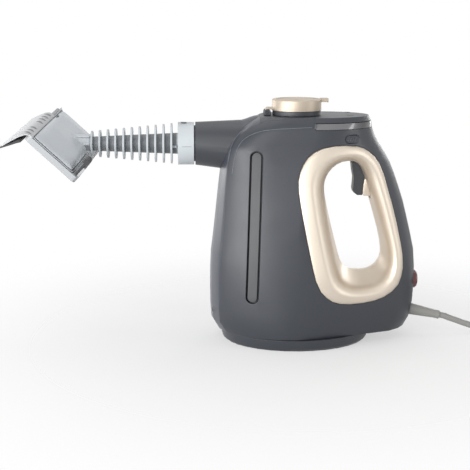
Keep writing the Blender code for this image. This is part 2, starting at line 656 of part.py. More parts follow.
def tube(name, points, radius, finish, resolution=CORD_RESOLUTION):
    curve = bpy.data.curves.new(name, "CURVE")
    curve.dimensions = "3D"
    curve.bevel_depth = radius
    curve.bevel_resolution = resolution
    curve.use_fill_caps = True
    line = curve.splines.new("POLY")
    line.points.add(len(points) - 1)
    for knot, point in zip(line.points, points):
        knot.co = (*point, 1.0)
    curve.materials.append(material_for(finish))
    thing = bpy.data.objects.new(name, curve)
    bpy.context.scene.collection.objects.link(thing)
    return thing


# The body's surface
def body_row(level):
    """The body's row at a level share, read from a monotone curve through the table."""
    rows = BODY_ROW_SHARES
    if level <= rows[0][0]:
        return rows[0][1:]
    if level >= rows[-1][0]:
        return rows[-1][1:]
    k = next(i for i in range(len(rows) - 1) if level <= rows[i + 1][0])
    span = rows[k + 1][0] - rows[k][0]
    t = (level - rows[k][0]) / span

    def slope(i, column):
        if i == 0 or i == len(rows) - 1:
            return 0
        before = (rows[i][column] - rows[i - 1][column]) / (rows[i][0] - rows[i - 1][0])
        after = (rows[i + 1][column] - rows[i][column]) / (rows[i + 1][0] - rows[i][0])
        return 2 * before * after / (before + after) if before * after > 0 else 0

    made = []
    for column in range(1, len(rows[0])):
        low, high = rows[k][column], rows[k + 1][column]
        rise = low + (high - low) * (3 * t * t - 2 * t**3)
        bend = slope(k, column) * (t**3 - 2 * t * t + t) + slope(k + 1, column) * (t**3 - t * t)
        made.append(rise + span * bend)
    return tuple(made)


def level_height(level):
    return SHELL_BASE + (BODY_HEIGHT - SHELL_BASE) * level


def height_level(height):
    return (height - SHELL_BASE) / (BODY_HEIGHT - SHELL_BASE)


def tail_shape(t, roundness):
    """Half width behind the widest place, as a share, for a place share t towards the rear."""
    tail = 1 - TAIL_TAPER_SHARE * (math.hypot(t, TAIL_START_SHARE) - TAIL_START_SHARE)
    if t > TAIL_ROUND_SHARE:
        tail *= math.sqrt(max(0, 1 - ((t - TAIL_ROUND_SHARE) / (1 - TAIL_ROUND_SHARE)) ** 2))
    return tail * (1 - roundness) + math.sqrt(max(0, 1 - t * t)) * roundness


def body_limits(height, inset=0):
    """Front end, rear end, half width, widest place, roundness and bluntness at a height."""
    front, rear, width, widest, roundness, bluntness = body_row(height_level(height))
    return (
        -front * FRONT_REACH + inset,
        rear * REAR_REACH - inset,
        width * BODY_HALF_WIDTH - inset,
        widest * REAR_REACH,
        roundness,
        bluntness,
    )


def half_width(x, height, inset=0):
    """The body's half width at a place."""
    front, rear, width, widest, roundness, bluntness = body_limits(height, inset)
    if x < widest:
        t = (widest - x) / (widest - front)
        return width * (1 - t**bluntness) ** (1 / bluntness) if t < 1 else 0
    t = (x - widest) / (rear - widest)
    return width * tail_shape(t, roundness) if t < 1 else 0


def plan_ring(height, inset=0, front_points=FRONT_POINTS, rear_points=REAR_POINTS):
    """The body's outline at a height, from the front end along the near side and back."""
    front, rear, width, widest, roundness, bluntness = body_limits(height, inset)
    side = []
    for i in range(front_points):
        angle = math.pi / 2 * i / front_points
        share = 2 / bluntness
        side.append((widest - (widest - front) * math.cos(angle) ** share, -width * math.sin(angle) ** share))
    for i in range(rear_points + 1):
        t = math.sin(math.pi / 2 * i / rear_points)
        side.append((widest + (rear - widest) * t, -width * tail_shape(t, roundness)))
    back = [(x, -y) for x, y in reversed(side[1:-1])]
    return [(x, y, height) for x, y in side + back]


def body_form(name, inset, levels, front_points, rear_points):
    """A solid of the body's shape, drawn in by the inset."""
    rings = []
    low, high = SHELL_BASE + inset, BODY_HEIGHT - inset
    for level in levels:
        height = low + (high - low) * level
        rings.append(plan_ring(height, inset, front_points, rear_points))
    return place(name, loft_shape(rings))


def body_patch(stations, depth_out, depth_in, side=-1):
    """A solid along the body's side: stations of (x, height, half width), from one depth to another."""
    columns = (-1, 0, 1)
    outer, inner = [], []
    for x, height, half in stations:
        row_out, row_in = [], []
        for column in columns:
            across = x + column * half
            reach = half_width(across, height)
            row_out.append((across, side * (reach - depth_out), height))
            row_in.append((across, side * (reach - depth_in), height))
        outer.append(row_out)
        inner.append(row_in)
    rings = [out + list(reversed(back)) for out, back in zip(outer, inner)]
    return loft_shape(rings)


def slot_stations(half):
    """Stations of the upright slot with round ends."""
    top = Vector((-INLAY_TOP_PLACE_SHARE * FRONT_REACH, INLAY_TOP_SHARE * BODY_HEIGHT))
    bottom = Vector((-INLAY_BOTTOM_PLACE_SHARE * FRONT_REACH, INLAY_BOTTOM_SHARE * BODY_HEIGHT))
    run = (top - bottom).normalized()
    low, high = bottom + run * SLOT_HALF_WIDTH, top - run * SLOT_HALF_WIDTH
    made = []
    for i in range(INLAY_STATIONS):
        angle = math.pi / 2 * (1 - i / INLAY_STATIONS) * SLOT_END_SHARE
        spot = low - run * half * math.sin(angle)
        made.append((spot.x, spot.y, half * math.cos(angle)))
    for i in range(INLAY_STATIONS):
        spot = low + (high - low) * (i / (INLAY_STATIONS - 1))
        made.append((spot.x, spot.y, half))
    for i in range(1, INLAY_STATIONS + 1):
        angle = math.pi / 2 * (i / INLAY_STATIONS) * SLOT_END_SHARE
        spot = high + run * half * math.sin(angle)
        made.append((spot.x, spot.y, half * math.cos(angle)))
    return made


def ribbon_form(name, margin):
    """The helper that takes the front spine and the deck out of the body: wider by margin."""
    stations = []
    levels = SPINE_LEVEL_SHARES
    front_line = [Vector((body_limits(level_height(level))[0], level_height(level))) for level in levels]
    for i, (level, share) in enumerate(zip(levels, SPINE_WIDTH_SHARES)):
        before = front_line[max(i - 1, 0)]
        after = front_line[min(i + 1, len(levels) - 1)]
        run = (after - before).normalized()
        out = Vector((-run.y, run.x))
        stations.append((front_line[i], out, SPINE_HALF_WIDTH * share, SPINE_CUT_DEPTH))
    first, out, width, depth = stations[0]
    stations.insert(0, (first - Vector((0, OVERRUN)), out, width, depth))
    up = Vector((0, 1))
    deck_start = -DECK_START_SHARE * FRONT_REACH
    step = DECK_STEP_SHARE * REAR_REACH
    last = stations[-1]
    stations[-1] = (last[0], up, last[2], DECK_LIP)
    deck = [
        (deck_start / 2, DECK_FRONT_HALF_WIDTH),
        (0, DECK_FRONT_HALF_WIDTH),
        (step, DECK_FRONT_HALF_WIDTH),
        (step + GAP, DECK_HALF_WIDTH),
        (REAR_REACH * DECK_COVER_SHARE, DECK_HALF_WIDTH),
    ]
    for x, width in deck:
        stations.append((Vector((x, BODY_HEIGHT)), up, width, DECK_LIP))
    rings = []
    for spot, out, width, depth in stations:
        high = spot + out * OVERRUN
        low = spot - out * (depth + margin)
        wide = width + margin
        rings.append(
            [(high.x, -wide, high.y), (high.x, wide, high.y), (low.x, wide, low.y), (low.x, -wide, low.y)]
        )
    return place(name, loft_shape(rings))


# Handle ring outlines
def ring_outlines():
    """Outer and inner outline of the handle trim in (x, z), and the liner step at each station."""
    outer = [(x * REAR_REACH, z * BODY_HEIGHT) for x, z in RING_OUTER_SHARES]
    inner = [(x * REAR_REACH, z * BODY_HEIGHT) for x, z in RING_INNER_SHARES]
    steps = [(share, 0) for share in RING_STEP_SHARES]
    return (
        smooth_closed(outer, RING_STATIONS),
        smooth_closed(inner, RING_STATIONS),
        [spot.x * RING_LINER_STEP for spot in smooth_closed(steps, RING_STATIONS)],
    )


def offset_outline(outline, distance):
    """A closed outline moved outwards by a distance."""
    middle = sum(outline, Vector((0, 0))) / len(outline)
    made = []
    for i, spot in enumerate(outline):
        run = outline[(i + 1) % len(outline)] - outline[i - 1]
        side = Vector((run.y, -run.x)).normalized()
        if side.dot(spot - middle) < 0:
            side = -side
        made.append(spot + side * distance)
    return made


def handle_trim(name, side):
    """One half of the gold trim: a bulging ring on the shell with a liner that reaches the middle."""
    outer, inner, steps = ring_outlines()
    rings = []
    for out, low, step in zip(outer, inner, steps):
        span = (out - low).length
        toward = (out - low) / span

        def at(distance, depth):
            spot = low + toward * distance
            return (spot.x, side * depth, spot.y)

        def skin(distance):
            spot = low + toward * distance
            return half_width(spot.x, spot.y)

        apex = step + (span - step) * RING_APEX_SHARE
        top = skin(apex) + RING_BULGE
        crease = RING_CREASE_SHARE * skin(step)
        ring = [at(0, GAP / 2), at(step, crease)]
        for share in RING_INNER_ARC_SHARES:
            angle = share * math.pi / 2
            ring.append(
                at(step + (apex - step) * (1 - math.cos(angle)), crease + (top - crease) * math.sin(angle))
            )
        ring.append(at(apex, top))
        edge = skin(span)
        for share in RING_OUTER_ARC_SHARES:
            angle = share * math.pi / 2
            ring.append(
                at(apex + (span - apex) * math.sin(angle), edge + (top - edge) * math.cos(angle))
            )
        ring.append(at(span, edge))
        ring.append(at(span, edge - RING_EDGE_DEPTH))
        ring.append(at(span - RING_WALL, edge - RING_EDGE_DEPTH))
        ring.append(at(apex, top - RING_WALL * RING_ROOF_SHARE))
        ring.append(at(step + RING_WALL, crease + RING_WALL * RING_LINER_SHARE))
        ring.append(at(RING_WALL, GAP / 2))
        rings.append(ring)
    return place(name, loft_shape(rings, closed_loop=True), "gold")


# Cutters shared by several pieces
def make_forms():
    forms = {}
    outer = body_form("form_outer", 0, OUTER_LEVEL_SHARES, FRONT_POINTS, REAR_POINTS)
    inner = body_form("form_inner", SHELL_WALL, INNER_LEVEL_SHARES, INNER_FRONT_POINTS, INNER_REAR_POINTS)
    forms["wall"] = combine(outer, inner)
    forms["spine_cut"] = ribbon_form("form_spine_cut", GAP / 2)
    forms["root_core"] = body_form(
        "form_root_core", NOZZLE_ROOT_DEPTH, INNER_LEVEL_SHARES, INNER_FRONT_POINTS, INNER_REAR_POINTS
    )
    ring_outer = ring_outlines()[0]
    hole = [tuple(spot) for spot in offset_outline(ring_outer, GAP)]
    reach = BODY_HALF_WIDTH + OVERRUN
    forms["handle_hole"] = place("form_handle_hole", prism_shape(hole, -reach, reach, "Y"))
    forms["foot_opening"] = place("form_foot_opening", foot_opening_shape())
    forms["nozzle_hole"] = place("form_nozzle_hole", nozzle_shape(GAP, OVERRUN))
    forms["band_groove"] = place("form_band_groove", band_shape(GAP, GAP * 2, SKIN_OVERRUN))
    forms["lock_hole"] = place("form_lock_hole", lock_shape(GAP, reach, reach))
    lens_hole = disc_profile(LENS_RADIUS + GAP, -OVERRUN, OVERRUN)
    forms["lens_hole"] = place("form_lens_hole", turned_shape(lens_hole, ROUND_SEGMENTS, lens_centre(), "X"))
    relief_hole = disc_profile(RELIEF_RADIUS + GAP, -OVERRUN, OVERRUN)
    forms["relief_hole"] = place("form_relief_hole", relief_shape(relief_hole))
    return forms


def foot_ring(margin, height):
    made = []
    for i in range(FOOT_POINTS):
        angle = FULL_TURN * i / FOOT_POINTS
        x = (FOOT_HALF_LENGTH + margin) * math.cos(angle)
        y = (FOOT_HALF_WIDTH + margin) * math.sin(angle)
        made.append((x, y, height))
    return made


def foot_opening_shape():
    top = SHELL_BASE + 2 * SHELL_WALL
    return loft_shape([foot_ring(-FOOT_OPENING_MARGIN, 0), foot_ring(-FOOT_OPENING_MARGIN, top)])


def nozzle_ring(x, margin):
    """A round section of the nozzle's cone at a place, grown by margin."""
    t = (x + NOZZLE_TIP) / (NOZZLE_TIP - NOZZLE_ROOT_PLACE)
    radius = NOZZLE_TIP_RADIUS + (NOZZLE_ROOT_RADIUS - NOZZLE_TIP_RADIUS) * t + margin
    centre = NOZZLE_AXIS_HEIGHT - NOZZLE_ROOT_DROP * t
    ring = []
    for i in range(NOZZLE_SEGMENTS):
        angle = FULL_TURN * i / NOZZLE_SEGMENTS
        ring.append((x, radius * math.cos(angle), centre + radius * math.sin(angle)))
    return ring


def nozzle_shape(margin, overrun=0.0):
    return loft_shape([nozzle_ring(-NOZZLE_TIP - overrun, margin), nozzle_ring(-NOZZLE_ROOT_PLACE, margin)])


def band_shape(margin, depth_more=0.0, proud_more=0.0):
    """The trim band, or its groove when grown: a strip along the body's side round the rear end."""
    high = BODY_HEIGHT - DECK_LIP - GAP + margin
    low = BODY_HEIGHT - DECK_LIP - GAP - BAND_HEIGHT - margin
    start = DECK_STEP_SHARE * REAR_REACH + BAND_START - margin
    rings = []
    sides = [(-1, i) for i in range(BAND_POINTS)] + [(1, i) for i in reversed(range(BAND_POINTS - 1))]
    for side, i in sides:
        t = math.sin(math.pi / 2 * i / (BAND_POINTS - 1))
        ring = []
        for height, offset in ((low, BAND_PROUD + proud_more), (high, BAND_PROUD + proud_more)):
            ring.append(band_point(start, t, side, height, -offset))
        for height in (high, low):
            ring.append(band_point(start, t, side, height, BAND_DEPTH + depth_more))
        rings.append(ring)
    return loft_shape(rings)


def band_point(start, t, side, height, inset):
    rear = body_limits(height, inset)[1]
    x = start + (rear - start) * t
    return (x, side * half_width(x, height, inset), height)


def lock_outline(margin):
    x, z = LOCK_PLACE, LOCK_HEIGHT
    half, height = LOCK_HALF_LENGTH + margin, LOCK_HALF_HEIGHT + margin
    made = []
    for i in range(SMALL_SEGMENTS + 1):
        angle = -math.pi / 2 + math.pi * i / SMALL_SEGMENTS
        made.append((x + half - height + height * math.cos(angle), z + height * math.sin(angle)))
    return made + [(2 * x - a, 2 * z - b) for a, b in made]


def lock_shape(margin, near, far):
    return prism_shape(lock_outline(margin), -near, far, "Y")


def lens_centre():
    height = LENS_HEIGHT_SHARE * BODY_HEIGHT
    return (body_limits(height)[1], 0, height)


def relief_shape(profile):
    """A shape turned round the strain relief's sloping axis, whose zero is at the relief's entry."""
    shape = turned_shape(profile, segments=SMALL_SEGMENTS + 4, axis="X")
    tilt = Matrix.Rotation(-math.atan(RELIEF_SLOPE), 4, "Y")
    entry = Matrix.Translation((RELIEF_ENTRY[0], 0, RELIEF_ENTRY[1]))
    bmesh.ops.transform(shape, matrix=entry @ tilt, verts=shape.verts)
    return shape


# Housing
def make_shells(forms):
    reach = FRONT_REACH + REAR_REACH
    for name, side in (("shell_near", -1), ("shell_far", 1)):
        low_y, high_y = sorted((side * GAP / 2, side * (BODY_HALF_WIDTH + OVERRUN)))
        shell = place(name, box_shape((-reach, low_y, 0), (reach, high_y, BODY_HEIGHT + OVERRUN)), "slate")
        combine(shell, forms["wall"], "INTERSECT")
        combine(shell, forms["spine_cut"])
        combine(shell, forms["handle_hole"])
        combine(shell, forms["foot_opening"])
        combine(shell, forms["band_groove"])
        combine(shell, forms["lock_hole"])
        combine(shell, forms["lens_hole"])
        combine(shell, forms["relief_hole"])
        slot = body_patch(slot_stations(SLOT_HALF_WIDTH), -SKIN_OVERRUN, SHELL_WALL * 2, side)
        combine(shell, place(f"form_slot_{name}", slot))


def make_inlays():
    for name, side in (("inlay_near", -1), ("inlay_far", 1)):
        back = INLAY_FLANGE_DEPTH + INLAY_FLANGE_THICKNESS
        strip = body_patch(
            slot_stations(INLAY_HALF_WIDTH), INLAY_SINK, INLAY_FLANGE_DEPTH + INLAY_FLANGE_THICKNESS / 2, side
        )
        flange = body_patch(slot_stations(INLAY_FLANGE_HALF_WIDTH), INLAY_FLANGE_DEPTH, back, side)
        inlay = place(name, strip, "slate_dark")
        combine(inlay, place(f"form_flange_{name}", flange), "UNION")


def make_spine_and_deck(forms):
    split = -DECK_START_SHARE * FRONT_REACH
    reach = REAR_REACH + OVERRUN
    spine = ribbon_form("spine_cover", -GAP / 2)
    spine.hide_render = False
    spine.display_type = "TEXTURED"
    spine.data.materials.append(material_for("slate"))
    combine(spine, forms["wall"], "INTERSECT")
    behind = place(
        "form_behind_split", box_shape((split, -reach, 0), (reach, reach, BODY_HEIGHT + OVERRUN))
    )
    combine(spine, behind)
    combine(spine, forms["nozzle_hole"])
    combine(spine, forms["foot_opening"])
    seat = SCREW_SINK + SCREW_HEAD_HEIGHT + GAP
    hole = [
        (0, -OVERRUN), (SCREW_HEAD_RADIUS + GAP, -OVERRUN), (SCREW_HEAD_RADIUS + GAP, seat),
        (SCREW_SHANK_RADIUS + GAP, seat), (SCREW_SHANK_RADIUS + GAP, OVERRUN), (0, OVERRUN),
    ]
    for i, side in enumerate((-1, 1)):
        centre = (screw_face(), side * SCREW_SIDE_PLACE, SCREW_HEIGHT_SHARE * BODY_HEIGHT)
        combine(spine, place(f"form_screw_hole_{i}", turned_shape(hole, SMALL_SEGMENTS, centre, "X")))

    deck = ribbon_form("top_deck", -GAP / 2)
    deck.hide_render = False
    deck.display_type = "TEXTURED"
    deck.data.materials.append(material_for("slate"))
    combine(deck, forms["wall"], "INTERSECT")
    ahead = place(
        "form_ahead_of_split", box_shape((-reach, -reach, 0), (split + GAP, reach, BODY_HEIGHT + OVERRUN))
    )
    combine(deck, ahead)
    filler = disc_profile(COLLAR_SKIRT_RADIUS + GAP, NECK_TOP - OVERRUN, BODY_HEIGHT + OVERRUN)
    combine(deck, place("form_filler_hole", turned_shape(filler, ROUND_SEGMENTS)))


def screw_face():
    """Where the front band's surface lies at the front screws."""
    height = SCREW_HEIGHT_SHARE * BODY_HEIGHT
    low, high = body_limits(height)[0], 0
    for _ in range(40):
        middle = (low + high) / 2
        if half_width(middle, height) < SCREW_SIDE_PLACE:
            low = middle
        else:
            high = middle
    return high


def make_front_screws():
    height = SCREW_HEIGHT_SHARE * BODY_HEIGHT
    for name, side in (("front_screw_near", -1), ("front_screw_far", 1)):
        start = SCREW_SINK
        profile = [
            (0, start), (SCREW_HEAD_RADIUS, start), (SCREW_HEAD_RADIUS, start + SCREW_HEAD_HEIGHT),
            (SCREW_SHANK_RADIUS, start + SCREW_HEAD_HEIGHT), (SCREW_SHANK_RADIUS, start + SCREW_LENGTH),
            (0, start + SCREW_LENGTH),
        ]
        centre = (screw_face(), side * SCREW_SIDE_PLACE, height)
        place(name, turned_shape(profile, SMALL_SEGMENTS, centre, "X"), "steel")


def make_foot():
    rings = [
        foot_ring(-FOOT_EDGE, 0),
        foot_ring(0, FOOT_EDGE),
        foot_ring(FOOT_FLARE, SHELL_BASE - GAP),
    ]
    foot = place("base_foot", loft_shape(rings), "slate")
    hollow = loft_shape(
        [foot_ring(-FOOT_WALL, FOOT_WALL), foot_ring(FOOT_FLARE - FOOT_WALL, SHELL_BASE + OVERRUN)]
    )
    combine(foot, place("form_foot_hollow", hollow))
    spots = [(x, y) for x in (-1, 1) for y in (-1, 1)]
    for i, (x, y) in enumerate(spots):
        centre = (x * PAD_PLACE_SHARE * FOOT_HALF_LENGTH, y * PAD_PLACE_SHARE * FOOT_HALF_WIDTH, 0)
        pocket = disc_profile(PAD_RADIUS + GAP, -OVERRUN, PAD_HEIGHT + GAP)
        combine(foot, place(f"form_pad_pocket_{i}", turned_shape(pocket, SMALL_SEGMENTS, centre)))
        pad = disc_profile(PAD_RADIUS, 0, PAD_HEIGHT)
        place(f"foot_pad_{i + 1}", turned_shape(pad, SMALL_SEGMENTS, centre), "rubber")


def make_band():
    place("trim_band", band_shape(0), "smoke")


def make_handle_trims():
    slot = trigger_slot_shape()
    cutter = place("form_trigger_slot", slot)
    for name, side in (("handle_trim_near", -1), ("handle_trim_far", 1)):
        trim = handle_trim(name, side)
        combine(trim, cutter)


def trigger_slot_shape():
    """The pocket in the trims that the trigger swings into."""
    low = TRIGGER_SLOT_BOTTOM_SHARE * BODY_HEIGHT
    front = TRIGGER_SLOT_FRONT_SHARE * REAR_REACH
    pivot_x, pivot_z = TRIGGER_PIVOT
    half = TRIGGER_HALF_WIDTH + GAP * 2
    outline = [
        (front, low), (pivot_x + TRIGGER_SLOT_DEPTH, low), (pivot_x + TRIGGER_SLOT_DEPTH, pivot_z + GAP),
        (pivot_x, BODY_HEIGHT - OVERRUN), (front, BODY_HEIGHT - OVERRUN),
    ]
    return prism_shape(outline, -half, half, "Y")


def make_nozzle(forms):
    nozzle = place("nozzle_housing", nozzle_shape(0), "slate_dark")
    front, back = -NOZZLE_TIP + NOZZLE_FACE, -NOZZLE_ROOT_PLACE + OVERRUN
    hollow = loft_shape([nozzle_ring(front, -NOZZLE_WALL), nozzle_ring(back, -NOZZLE_WALL)])
    combine(nozzle, place("form_nozzle_hollow", hollow))
    combine(nozzle, forms["root_core"])
    axis = (0, 0, NOZZLE_AXIS_HEIGHT)
    tip = -NOZZLE_TIP - SPIGOT_LENGTH
    spigot = ring_profile(SPIGOT_BORE_RADIUS, SPIGOT_RADIUS, tip, -NOZZLE_TIP + NOZZLE_FACE / 2)
    combine(nozzle, place("form_spigot", turned_shape(spigot, ROUND_SEGMENTS, axis, "X")), "UNION")
    bore = disc_profile(SPOUT_RADIUS + PIN_GAP, -NOZZLE_TIP - SPIGOT_LENGTH / 2, -NOZZLE_TIP + OVERRUN)
    combine(nozzle, place("form_spout_hole", turned_shape(bore, SMALL_SEGMENTS, axis, "X")))


# Steam path
def make_steam_path():
    axis = (0, 0, NOZZLE_AXIS_HEIGHT)
    spout = ring_profile(SPOUT_BORE_RADIUS, SPOUT_RADIUS, -SPOUT_TIP_PLACE, -SPOUT_BACK_PLACE)
    place("nozzle_spout", turned_shape(spout, SMALL_SEGMENTS, axis, "X"), "brass")
    seal = ring_profile(
        SPOUT_RADIUS + PIN_GAP, SEAL_RADIUS, -NOZZLE_TIP - GAP - SEAL_THICKNESS, -NOZZLE_TIP - GAP
    )
    place("spout_seal", turned_shape(seal, SMALL_SEGMENTS, axis, "X"), "silicone")

    valve_x, valve_y = VALVE_PLACE
    base = BOILER_TOP + GAP
    body = disc_profile(VALVE_RADIUS, base, base + VALVE_HEIGHT)
    valve = place("steam_valve_body", turned_shape(body, ROUND_SEGMENTS, (valve_x, valve_y, 0)), "brass")
    bore = turned_shape(
        disc_profile(ROD_RADIUS + PIN_GAP, valve_x + VALVE_RADIUS - VALVE_BORE_DEPTH, valve_x + OVERRUN),
        SMALL_SEGMENTS, (0, valve_y, ROD_HEIGHT), "X",
    )
    combine(valve, place("form_valve_bore", bore))

    start = Vector((valve_x - VALVE_RADIUS - PIPE_END_GAP, valve_y, ROD_HEIGHT))
    end = Vector((-SPOUT_BACK_PLACE + PIPE_END_GAP, 0, NOZZLE_AXIS_HEIGHT))
    run = Vector((PIPE_RADIUS * 2, 0, 0))
    points = smooth_open([start, start - run, end + run, end], PIPE_POINTS)
    tube("steam_pipe", points, PIPE_RADIUS, "steel")


def make_valve_rod():
    valve_x, valve_y = VALVE_PLACE
    tip = valve_x + VALVE_RADIUS - VALVE_BORE_DEPTH / 2
    profile = disc_profile(ROD_RADIUS, tip, ROD_ARM_PLACE)
    rod = turned_shape(profile, SMALL_SEGMENTS, (0, valve_y, ROD_HEIGHT), "X")
    pivot = (ROD_ARM_PLACE, valve_y, ROD_HEIGHT)
    made = place("valve_rod", rod, "steel", pivot)
    arm = box_shape(
        (ROD_ARM_PLACE - ROD_ARM_THICKNESS, -ROD_ARM_REACH, ROD_HEIGHT - ROD_ARM_HEIGHT / 2),
        (ROD_ARM_PLACE, valve_y + ROD_RADIUS, ROD_HEIGHT + ROD_ARM_HEIGHT / 2),
    )
    combine(made, place("form_rod_arm", arm), "UNION")


# Boiler
def bolt_spots():
    for i in range(BOLT_COUNT):
        angle = FULL_TURN * (i + BOLT_TURN_SHARE) / BOLT_COUNT
        yield (
            BOILER_PLACE + BOLT_CIRCLE_RADIUS * math.cos(angle),
            BOLT_CIRCLE_RADIUS * math.sin(angle),
            0,
        )


def make_boiler():
    centre = (BOILER_PLACE, 0, 0)
    inner = BOILER_RADIUS - BOILER_WALL
    joint = BOILER_JOINT_HEIGHT
    gasket_top = joint + GASKET_THICKNESS / 2
    gasket_bottom = joint - GASKET_THICKNESS / 2
    lower_top = gasket_bottom - GAP
    upper_bottom = gasket_top + GAP
    lower_profile = [
        (0, BOILER_BOTTOM), (BOILER_RADIUS - BOILER_SHOULDER, BOILER_BOTTOM),
        (BOILER_RADIUS, BOILER_BOTTOM + BOILER_SHOULDER), (BOILER_RADIUS, lower_top - FLANGE_THICKNESS),
        (FLANGE_RADIUS, lower_top - FLANGE_THICKNESS), (FLANGE_RADIUS, lower_top), (inner, lower_top),
        (inner, BOILER_BOTTOM + BOILER_SHOULDER + BOILER_WALL),
        (inner - BOILER_SHOULDER, BOILER_BOTTOM + BOILER_WALL), (0, BOILER_BOTTOM + BOILER_WALL),
    ]
    upper_profile = [
        (0, BOILER_TOP - BOILER_WALL), (inner - BOILER_SHOULDER, BOILER_TOP - BOILER_WALL),
        (inner, BOILER_TOP - BOILER_SHOULDER - BOILER_WALL), (inner, upper_bottom),
        (FLANGE_RADIUS, upper_bottom), (FLANGE_RADIUS, upper_bottom + FLANGE_THICKNESS),
        (BOILER_RADIUS, upper_bottom + FLANGE_THICKNESS), (BOILER_RADIUS, BOILER_TOP - BOILER_SHOULDER),
        (BOILER_RADIUS - BOILER_SHOULDER, BOILER_TOP), (0, BOILER_TOP),
    ]
    lower = place("boiler_lower", turned_shape(lower_profile, ROUND_SEGMENTS, centre), "aluminium")
    upper = place("boiler_upper", turned_shape(upper_profile, ROUND_SEGMENTS, centre), "aluminium")
    gasket_profile = ring_profile(inner, FLANGE_RADIUS - GAP, gasket_bottom, gasket_top)
    gasket = place("boiler_gasket", turned_shape(gasket_profile, ROUND_SEGMENTS, centre), "silicone")
    filler = disc_profile(NECK_BORE_RADIUS, BOILER_TOP - BOILER_SHOULDER * 2, BOILER_TOP + OVERRUN)
    combine(upper, place("form_boiler_filler", turned_shape(filler, ROUND_SEGMENTS)))
    valve_x, valve_y = VALVE_PLACE
    outlet = disc_profile(ROD_RADIUS, BOILER_TOP - BOILER_SHOULDER, BOILER_TOP + OVERRUN)
    combine(upper, place("form_boiler_outlet", turned_shape(outlet, SMALL_SEGMENTS, (valve_x, valve_y, 0))))
    head_low = upper_bottom + FLANGE_THICKNESS + GAP
    for i, spot in enumerate(bolt_spots()):
        hole = disc_profile(BOLT_RADIUS + PIN_GAP, joint - OVERRUN / 2, joint + OVERRUN / 2)
        cutter = place(f"form_bolt_hole_{i}", turned_shape(hole, SMALL_SEGMENTS, spot))
        for thing in (lower, upper, gasket):
            combine(thing, cutter)
        tip = lower_top - FLANGE_THICKNESS - BOLT_HEAD_HEIGHT
        profile = [
            (0, tip), (BOLT_RADIUS, tip), (BOLT_RADIUS, head_low), (BOLT_HEAD_RADIUS, head_low),
            (BOLT_HEAD_RADIUS, head_low + BOLT_HEAD_HEIGHT), (0, head_low + BOLT_HEAD_HEIGHT),
        ]
        place(f"boiler_bolt_{i + 1}", turned_shape(profile, SMALL_SEGMENTS, spot), "steel")


def make_boiler_base():
    centre = (BOILER_PLACE, 0, 0)
    floor = FOOT_WALL + GAP
    seat = BOILER_BOTTOM - GAP
    stand = ring_profile(STAND_RADIUS - STAND_WALL, STAND_RADIUS, floor, seat)
    stand_piece = place("boiler_stand", turned_shape(stand, ROUND_SEGMENTS, centre), "black")
    trim_low = BOILER_BOTTOM - BOILER_SHOULDER / 2
    trim = ring_profile(BOILER_RADIUS - BOILER_SHOULDER - GAP, BOILER_RADIUS + OVERRUN, trim_low, BOILER_TOP)
    combine(stand_piece, place("form_stand_trim", turned_shape(trim, ROUND_SEGMENTS, centre)))
    heater = disc_profile(HEATER_RADIUS, seat - HEATER_THICKNESS, seat)
    place("heater_plate", turned_shape(heater, ROUND_SEGMENTS, centre), "steel")
    under = seat - HEATER_THICKNESS - GAP
    thermostat = disc_profile(THERMOSTAT_RADIUS, under - THERMOSTAT_HEIGHT, under)
    place("thermostat", turned_shape(thermostat, SMALL_SEGMENTS, centre), "black")
    fuse = disc_profile(FUSE_RADIUS, under - FUSE_HEIGHT, under)
    place("thermal_fuse", turned_shape(fuse, SMALL_SEGMENTS, (BOILER_PLACE + FUSE_OFFSET, 0, 0)), "white")


# Filler, plug and lid
def make_filler():
    base = BOILER_TOP + GAP
    neck = [
        (NECK_BORE_RADIUS, base), (NECK_FLANGE_RADIUS, base),
        (NECK_FLANGE_RADIUS, base + NECK_FLANGE_THICKNESS),
        (NECK_RADIUS, base + NECK_FLANGE_THICKNESS), (NECK_RADIUS, NECK_TOP), (NECK_BORE_RADIUS, NECK_TOP),
    ]
    place("filler_neck", turned_shape(neck, INNER_SEGMENTS), "brass")
    deck = BODY_HEIGHT + GAP
    collar = [
        (COLLAR_BORE_RADIUS, deck - COLLAR_SKIRT_DEPTH), (COLLAR_SKIRT_RADIUS, deck - COLLAR_SKIRT_DEPTH),
        (COLLAR_SKIRT_RADIUS, deck), (COLLAR_RADIUS, deck), (COLLAR_RADIUS, COLLAR_TOP),
        (COLLAR_BORE_RADIUS, COLLAR_TOP),
    ]
    place("filler_collar", turned_shape(collar, ROUND_SEGMENTS), "slate_dark")


def make_pressure_plug():
    gasket_low = NECK_TOP + GAP
    gasket_high = gasket_low + PLUG_GASKET_THICKNESS
    flange_low = gasket_high + GAP
    flange_high = flange_low + PLUG_FLANGE_THICKNESS
    gasket = ring_profile(PLUG_STEM_RADIUS + GAP, PLUG_GASKET_RADIUS, gasket_low, gasket_high)
    place("plug_gasket", turned_shape(gasket, INNER_SEGMENTS), "silicone")
    profile = [
        (0, flange_low - PLUG_STEM_LENGTH), (PLUG_STEM_RADIUS, flange_low - PLUG_STEM_LENGTH),
        (PLUG_STEM_RADIUS, flange_low), (PLUG_FLANGE_RADIUS, flange_low), (PLUG_FLANGE_RADIUS, flange_high),
        (PLUG_KNOB_RADIUS, flange_high), (PLUG_KNOB_RADIUS, PLUG_KNOB_TOP), (0, PLUG_KNOB_TOP),
    ]
    plug = place("pressure_plug", turned_shape(profile, INNER_SEGMENTS), "black", (0, 0, flange_low))
    for side in (-1, 1):
        low_y, high_y = sorted((side * PLUG_GRIP_THICKNESS / 2, side * (PLUG_FLANGE_RADIUS + OVERRUN)))
        flat = box_shape(
            (-PLUG_FLANGE_RADIUS - OVERRUN, low_y, flange_high),
            (PLUG_FLANGE_RADIUS + OVERRUN, high_y, PLUG_KNOB_TOP + OVERRUN),
        )
        combine(plug, place(f"form_grip_flat_{side}", flat))


